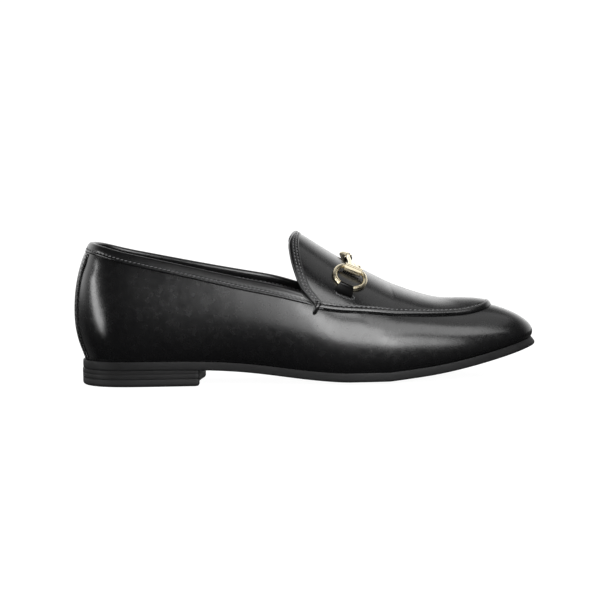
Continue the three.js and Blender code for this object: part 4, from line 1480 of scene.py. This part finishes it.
def tab_section(side):
    """Outline of the folded tab in the plane across the ring's lower side, as (down, out)."""
    ring = moved(ring_frame(side), y=ring_flat)
    under = bit_frame(side, slit_reach, 0.0)
    slit = (np.linalg.inv(ring) @ np.append(under[:3, 3], 1))[:3]
    bore = ring_wire / 2 + 0.05
    out = bore + tab_leather
    front = np.radians(np.linspace(35, 270, 24))
    fold = [(out * math.cos(a), out * math.sin(a)) for a in front]
    tail = [
        (slit[1] * 0.5 + 1.0, slit[2] * 0.5 + 1.3),
        (slit[1] - 0.6, slit[2] + 1.0),
        (slit[1] + 0.35, slit[2] + 0.25),
        (slit[1] + 0.3, slit[2] - 0.5),
        (slit[1] - 1.0, slit[2] - 0.5),
        (slit[1] * 0.6, slit[2] * 0.75 - 0.25),
    ]
    return ring, np.array(tail), np.array(fold)


for side, word in SIDES:
    ring, tail, fold = tab_section(side)
    loop = np.concatenate([fold, tail[::-1]])
    centre = loop.mean(axis=0)
    wider = 1 + tab_spread * np.clip(loop[:, 0] / tail[1, 0], 0, 1)
    rows = []
    for x, size in tab_sections:
        rows.append(np.column_stack([x * wider, centre + (loop - centre) * size]))
    grid = through(ring, np.stack(rows))
    piece(f"tab_{word}", [grid], tab_calf, [f"bit_tab_{word}"], wrap=True, caps=True)


# %% Stitched rims of the slits
def slit_place(side, ahead, down, height):
    """A spot on the apron near a slit, by its distances ahead and down."""
    run, u = bit_line[side]
    v = np.interp(slit_reach + down, run, bit_v)
    at = np.interp(slit_reach + down, run, u)
    per_plane = np.linalg.norm(skin(side * (at + 0.005), v) - skin(side * at, v), axis=-1) / 0.005
    w = side * (at + ahead / per_plane)
    return lifted(w, v, height), skin_normal(w, v)


slit_half = 5.5
slit_tall = 1.5
squareness = 0.6
rim_turn = np.linspace(0, 2 * np.pi, 240)
for side, word in SIDES:
    ahead = slit_half * np.sign(np.cos(rim_turn)) * np.abs(np.cos(rim_turn)) ** squareness
    down = slit_tall * np.sign(np.sin(rim_turn)) * np.abs(np.sin(rim_turn)) ** squareness
    rim, rim_out = slit_place(side, ahead, down, apron_height)
    stitch_row(f"slit_stitches_{word}", rim, rim_out, 0.95, 1.3, 0.42, 0.2, slant=0.9, zigzag=True)


# %% Thong ties
# Lines of a tie's two straps. ahead, up: from the apron's rear corner; lift: off the last.
MAIN_STRAP = table(
    "ahead up lift",
    (3.5, 3.6, 1.0),
    (3.2, 3.2, 2.0),
    (2.4, 1.9, 2.9),
    (1.5, 0.2, 3.0),
    (0.7, -1.6, 2.1),
    (-0.1, -3.1, 1.1),
    (-0.5, -3.9, 0.4),
)
OVER_STRAP = table(
    "ahead up lift",
    (3.9, 2.2, 1.2),
    (3.2, 2.6, 2.9),
    (2.3, 2.9, 3.3),
    (1.5, 3.0, 2.4),
    (1.0, 2.9, 1.2),
)


def thong_path(side, plan):
    """Points and normals of a strap's line."""
    u0, v0 = corner_plane, float(seam_line(corner_plane))
    step = 0.01
    origin = skin(side * u0, v0)
    per_u = np.linalg.norm(skin(side * (u0 + step), v0) - origin) / step
    per_v = np.linalg.norm(skin(side * u0, v0 + step) - origin) / step
    w = side * (u0 + plan["ahead"] / per_u)
    v = v0 + plan["up"] / per_v
    return lifted(w, v, plan["lift"]), skin_normal(w, v)


def smooth_line(points, count=40):
    knots = run_length(points)
    t = np.linspace(0, knots[-1], count)
    return np.stack([curve(knots, points[:, k])(t) for k in range(3)], axis=-1)


def strap_along(points, normals, width, thick, sides=16):
    """A flat oval thong along a free line."""
    line = smooth_line(points)
    out = unit(smooth_line(normals))
    ahead = unit(np.gradient(line, axis=0))
    across = unit(np.cross(out, ahead))
    out = np.cross(ahead, across)
    round_strap = circle(1, sides)
    share = np.linspace(0, 1, len(line))
    taper = np.minimum(1, 0.55 + 3 * np.minimum(share, 1 - share))[:, None, None]
    wide = across[:, None] * round_strap[:, :1] * width / 2
    high = out[:, None] * round_strap[:, 1:2] * thick / 2
    return line[:, None] + (wide + high) * taper


for side, word in SIDES:
    main = strap_along(*thong_path(side, MAIN_STRAP), 2.3, 1.4)
    over = strap_along(*thong_path(side, OVER_STRAP), 1.8, 1.2)
    solids = [(main, True), (over, True)]
    joined(f"thong_{word}", solids, binding_calf, [f"thong_tie_{word}"])

# %% [markdown]
# The studio is plain: a pale floor, a white surround, and soft boxes. Black leather shows nothing but
# what it mirrors, so each soft box is placed for one highlight. Most stand near, because a near box
# shows in a short stretch of the wall only. The floor is kept out of the shoe's mirror, and so is the
# surround, except low behind the shoe, where it gives the apron's flat front its sheen. Light linking
# gives the bit's metal broad boxes of its own and leaves the dark tabs out of the low boxes. One shared
# set of lights would be simpler, but then either the metal is dull or the leather is grey.

# %% Floor and surround
floor_mesh = bpy.data.meshes.new("floor")
floor_half = 40
floor_corners = [(x * floor_half, y * floor_half, 0) for x, y in ((-1, -1), (1, -1), (1, 1), (-1, 1))]
floor_mesh.from_pydata(floor_corners, [], [(0, 1, 2, 3)])
floor = bpy.data.objects.new("floor", floor_mesh)
bpy.context.collection.objects.link(floor)
pale_floor = material("pale_floor", (0.12, 0.12, 0.12), 0.9, specular=0.0)
shader_of(pale_floor).inputs["Emission Color"].default_value = (1, 1, 1, 1)
shader_of(pale_floor).inputs["Emission Strength"].default_value = 0.97
floor_mesh.materials.append(pale_floor)
floor.visible_glossy = False
floor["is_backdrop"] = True

world = bpy.data.worlds.new("studio")
bpy.context.scene.world = world
world.use_nodes = True
ground = world.node_tree.nodes["Background"]
ground.inputs["Color"].default_value = (1, 1, 1, 1)


def ramp(value, start, end, low, high):
    """A smooth rise of a value between two marks, in the world's nodes."""
    made = node(world, "ShaderNodeMapRange", from_min=start, from_max=end, to_min=low, to_max=high)
    made.interpolation_type = "SMOOTHSTEP"
    link(world, value, made.inputs["Value"])
    return made.outputs["Result"]


def product(a, b):
    made = node(world, "ShaderNodeMath", operation="MULTIPLY")
    link(world, a, made.inputs[0])
    link(world, b, made.inputs[1])
    return made.outputs["Value"]


surround_strength = 1.12
world_place = node(world, "ShaderNodeTexCoord")
world_axes = node(world, "ShaderNodeSeparateXYZ")
link(world, world_place.outputs["Generated"], world_axes.inputs["Vector"])
behind = ramp(world_axes.outputs["Y"], 0.1, 0.7, 0.05, 1.5)
above = ramp(world_axes.outputs["Z"], -0.05, 0.1, 0.05, 1.0)
low_only = ramp(world_axes.outputs["Z"], 0.35, 0.75, 1.0, 0.1)
not_at_toe = ramp(world_axes.outputs["X"], 0.5, 0.95, 1.0, 0.8)
mirrored = product(product(behind, above), product(low_only, not_at_toe))
rays = node(world, "ShaderNodeLightPath")
choice = node(world, "ShaderNodeMix", data_type="FLOAT")
link(world, rays.outputs["Is Glossy Ray"], choice.inputs[0])
choice.inputs[2].default_value = surround_strength
link(world, mirrored, choice.inputs[3])
link(world, choice.outputs[0], ground.inputs["Strength"])


# %% Soft boxes and camera
photo_pixels = 600
mm_per_pixel = 0.576
frame_width = photo_pixels * mm_per_pixel
aim = Vector((0.0934, 0, 0.0458))
elevation = math.radians(5)
roll = math.radians(1.2)
distance = 2.8


def soft_box(name, azimuth, height, far, width, tall, brightness, slant=0.0):
    """A rectangle of light that faces the shoe. Azimuth 0 is on the camera's side, 90 at the toe."""
    a, e = math.radians(azimuth), math.radians(height)
    away = Vector((math.sin(a) * math.cos(e), -math.cos(a) * math.cos(e), math.sin(e)))
    data = bpy.data.lights.new(name, "AREA")
    data.shape = "RECTANGLE"
    data.size, data.size_y = width, tall
    data.energy = brightness * math.pi * width * tall
    lamp = bpy.data.objects.new(name, data)
    lamp.location = aim + away * far
    lamp.rotation_mode = "QUATERNION"
    lamp.rotation_quaternion = away.to_track_quat("Z", "Y") @ Quaternion((0, 0, 1), math.radians(slant))
    lamp.visible_camera = False
    bpy.context.collection.objects.link(lamp)
    return lamp


key_lights = [
    soft_box("toe_box", 12, 16, 0.36, 0.28, 0.18, 7),
    soft_box("toe_side_box", 38, 8, 0.36, 0.1, 0.09, 6),
    soft_box("toe_upper_box", 49, 34, 0.4, 0.24, 0.18, 3.6),
    soft_box("high_box", 10, 47, 0.36, 0.14, 0.12, 5),
    soft_box("waist_box", -11, 11, 0.162, 0.068, 0.07, 2.7),
    soft_box("toe_top_box", 100, 55, 0.5, 0.35, 0.25, 0.75),
    soft_box("heel_strip", -75, 4, 1.0, 0.2, 0.85, 8, slant=55),
]
metal_fill = [
    soft_box("metal_front_fill", 0, 30, 1.0, 2.4, 1.8, 1.3),
    soft_box("metal_back_fill", 180, 50, 1.0, 1.6, 1.2, 0.6),
]
metal_parts = [o for o in bpy.data.objects if o.name.startswith(("ring_", "bar_"))]
tab_parts = [o for o in bpy.data.objects if o.name.startswith("tab_")]


def light_group(name, parts, state):
    """The parts that a lamp lights alone, or leaves out."""
    made = bpy.data.collections.new(name)
    for part in parts:
        made.objects.link(part)
    for member in made.collection_objects:
        member.light_linking.link_state = state
    return made


only_metal = light_group("only_metal", metal_parts, "INCLUDE")
all_but_metal = light_group("all_but_metal", metal_parts, "EXCLUDE")
all_but_bit = light_group("all_but_bit", metal_parts + tab_parts, "EXCLUDE")
# The heel's strip stands far to the side and lights every piece.
for lamp in key_lights[:-1]:
    lamp.light_linking.receiver_collection = all_but_metal if lamp.name == "high_box" else all_but_bit
for lamp in metal_fill:
    lamp.light_linking.receiver_collection = only_metal

camera_data = bpy.data.cameras.new("camera")
camera_data.lens = camera_data.sensor_width * distance / (frame_width * MM)
camera_data.clip_end = 200
camera = bpy.data.objects.new("camera", camera_data)
bpy.context.collection.objects.link(camera)
forward = Vector((0, math.cos(elevation), -math.sin(elevation)))
level_up = Vector((0, math.sin(elevation), math.cos(elevation)))
right = Vector((1, 0, 0)) * math.cos(roll) - level_up * math.sin(roll)
up = level_up * math.cos(roll) + Vector((1, 0, 0)) * math.sin(roll)
facing = Matrix((right, up, -forward)).transposed().to_4x4()
camera.matrix_world = Matrix.Translation(aim - forward * distance) @ facing
bpy.context.scene.camera = camera
bpy.context.scene.view_settings.view_transform = "Standard"
print("lens", round(camera_data.lens, 1))

# %% Close the lesson
low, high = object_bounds()
print("visual box in mm:", [round(x / MM, 1) for x in (*low, *high)])
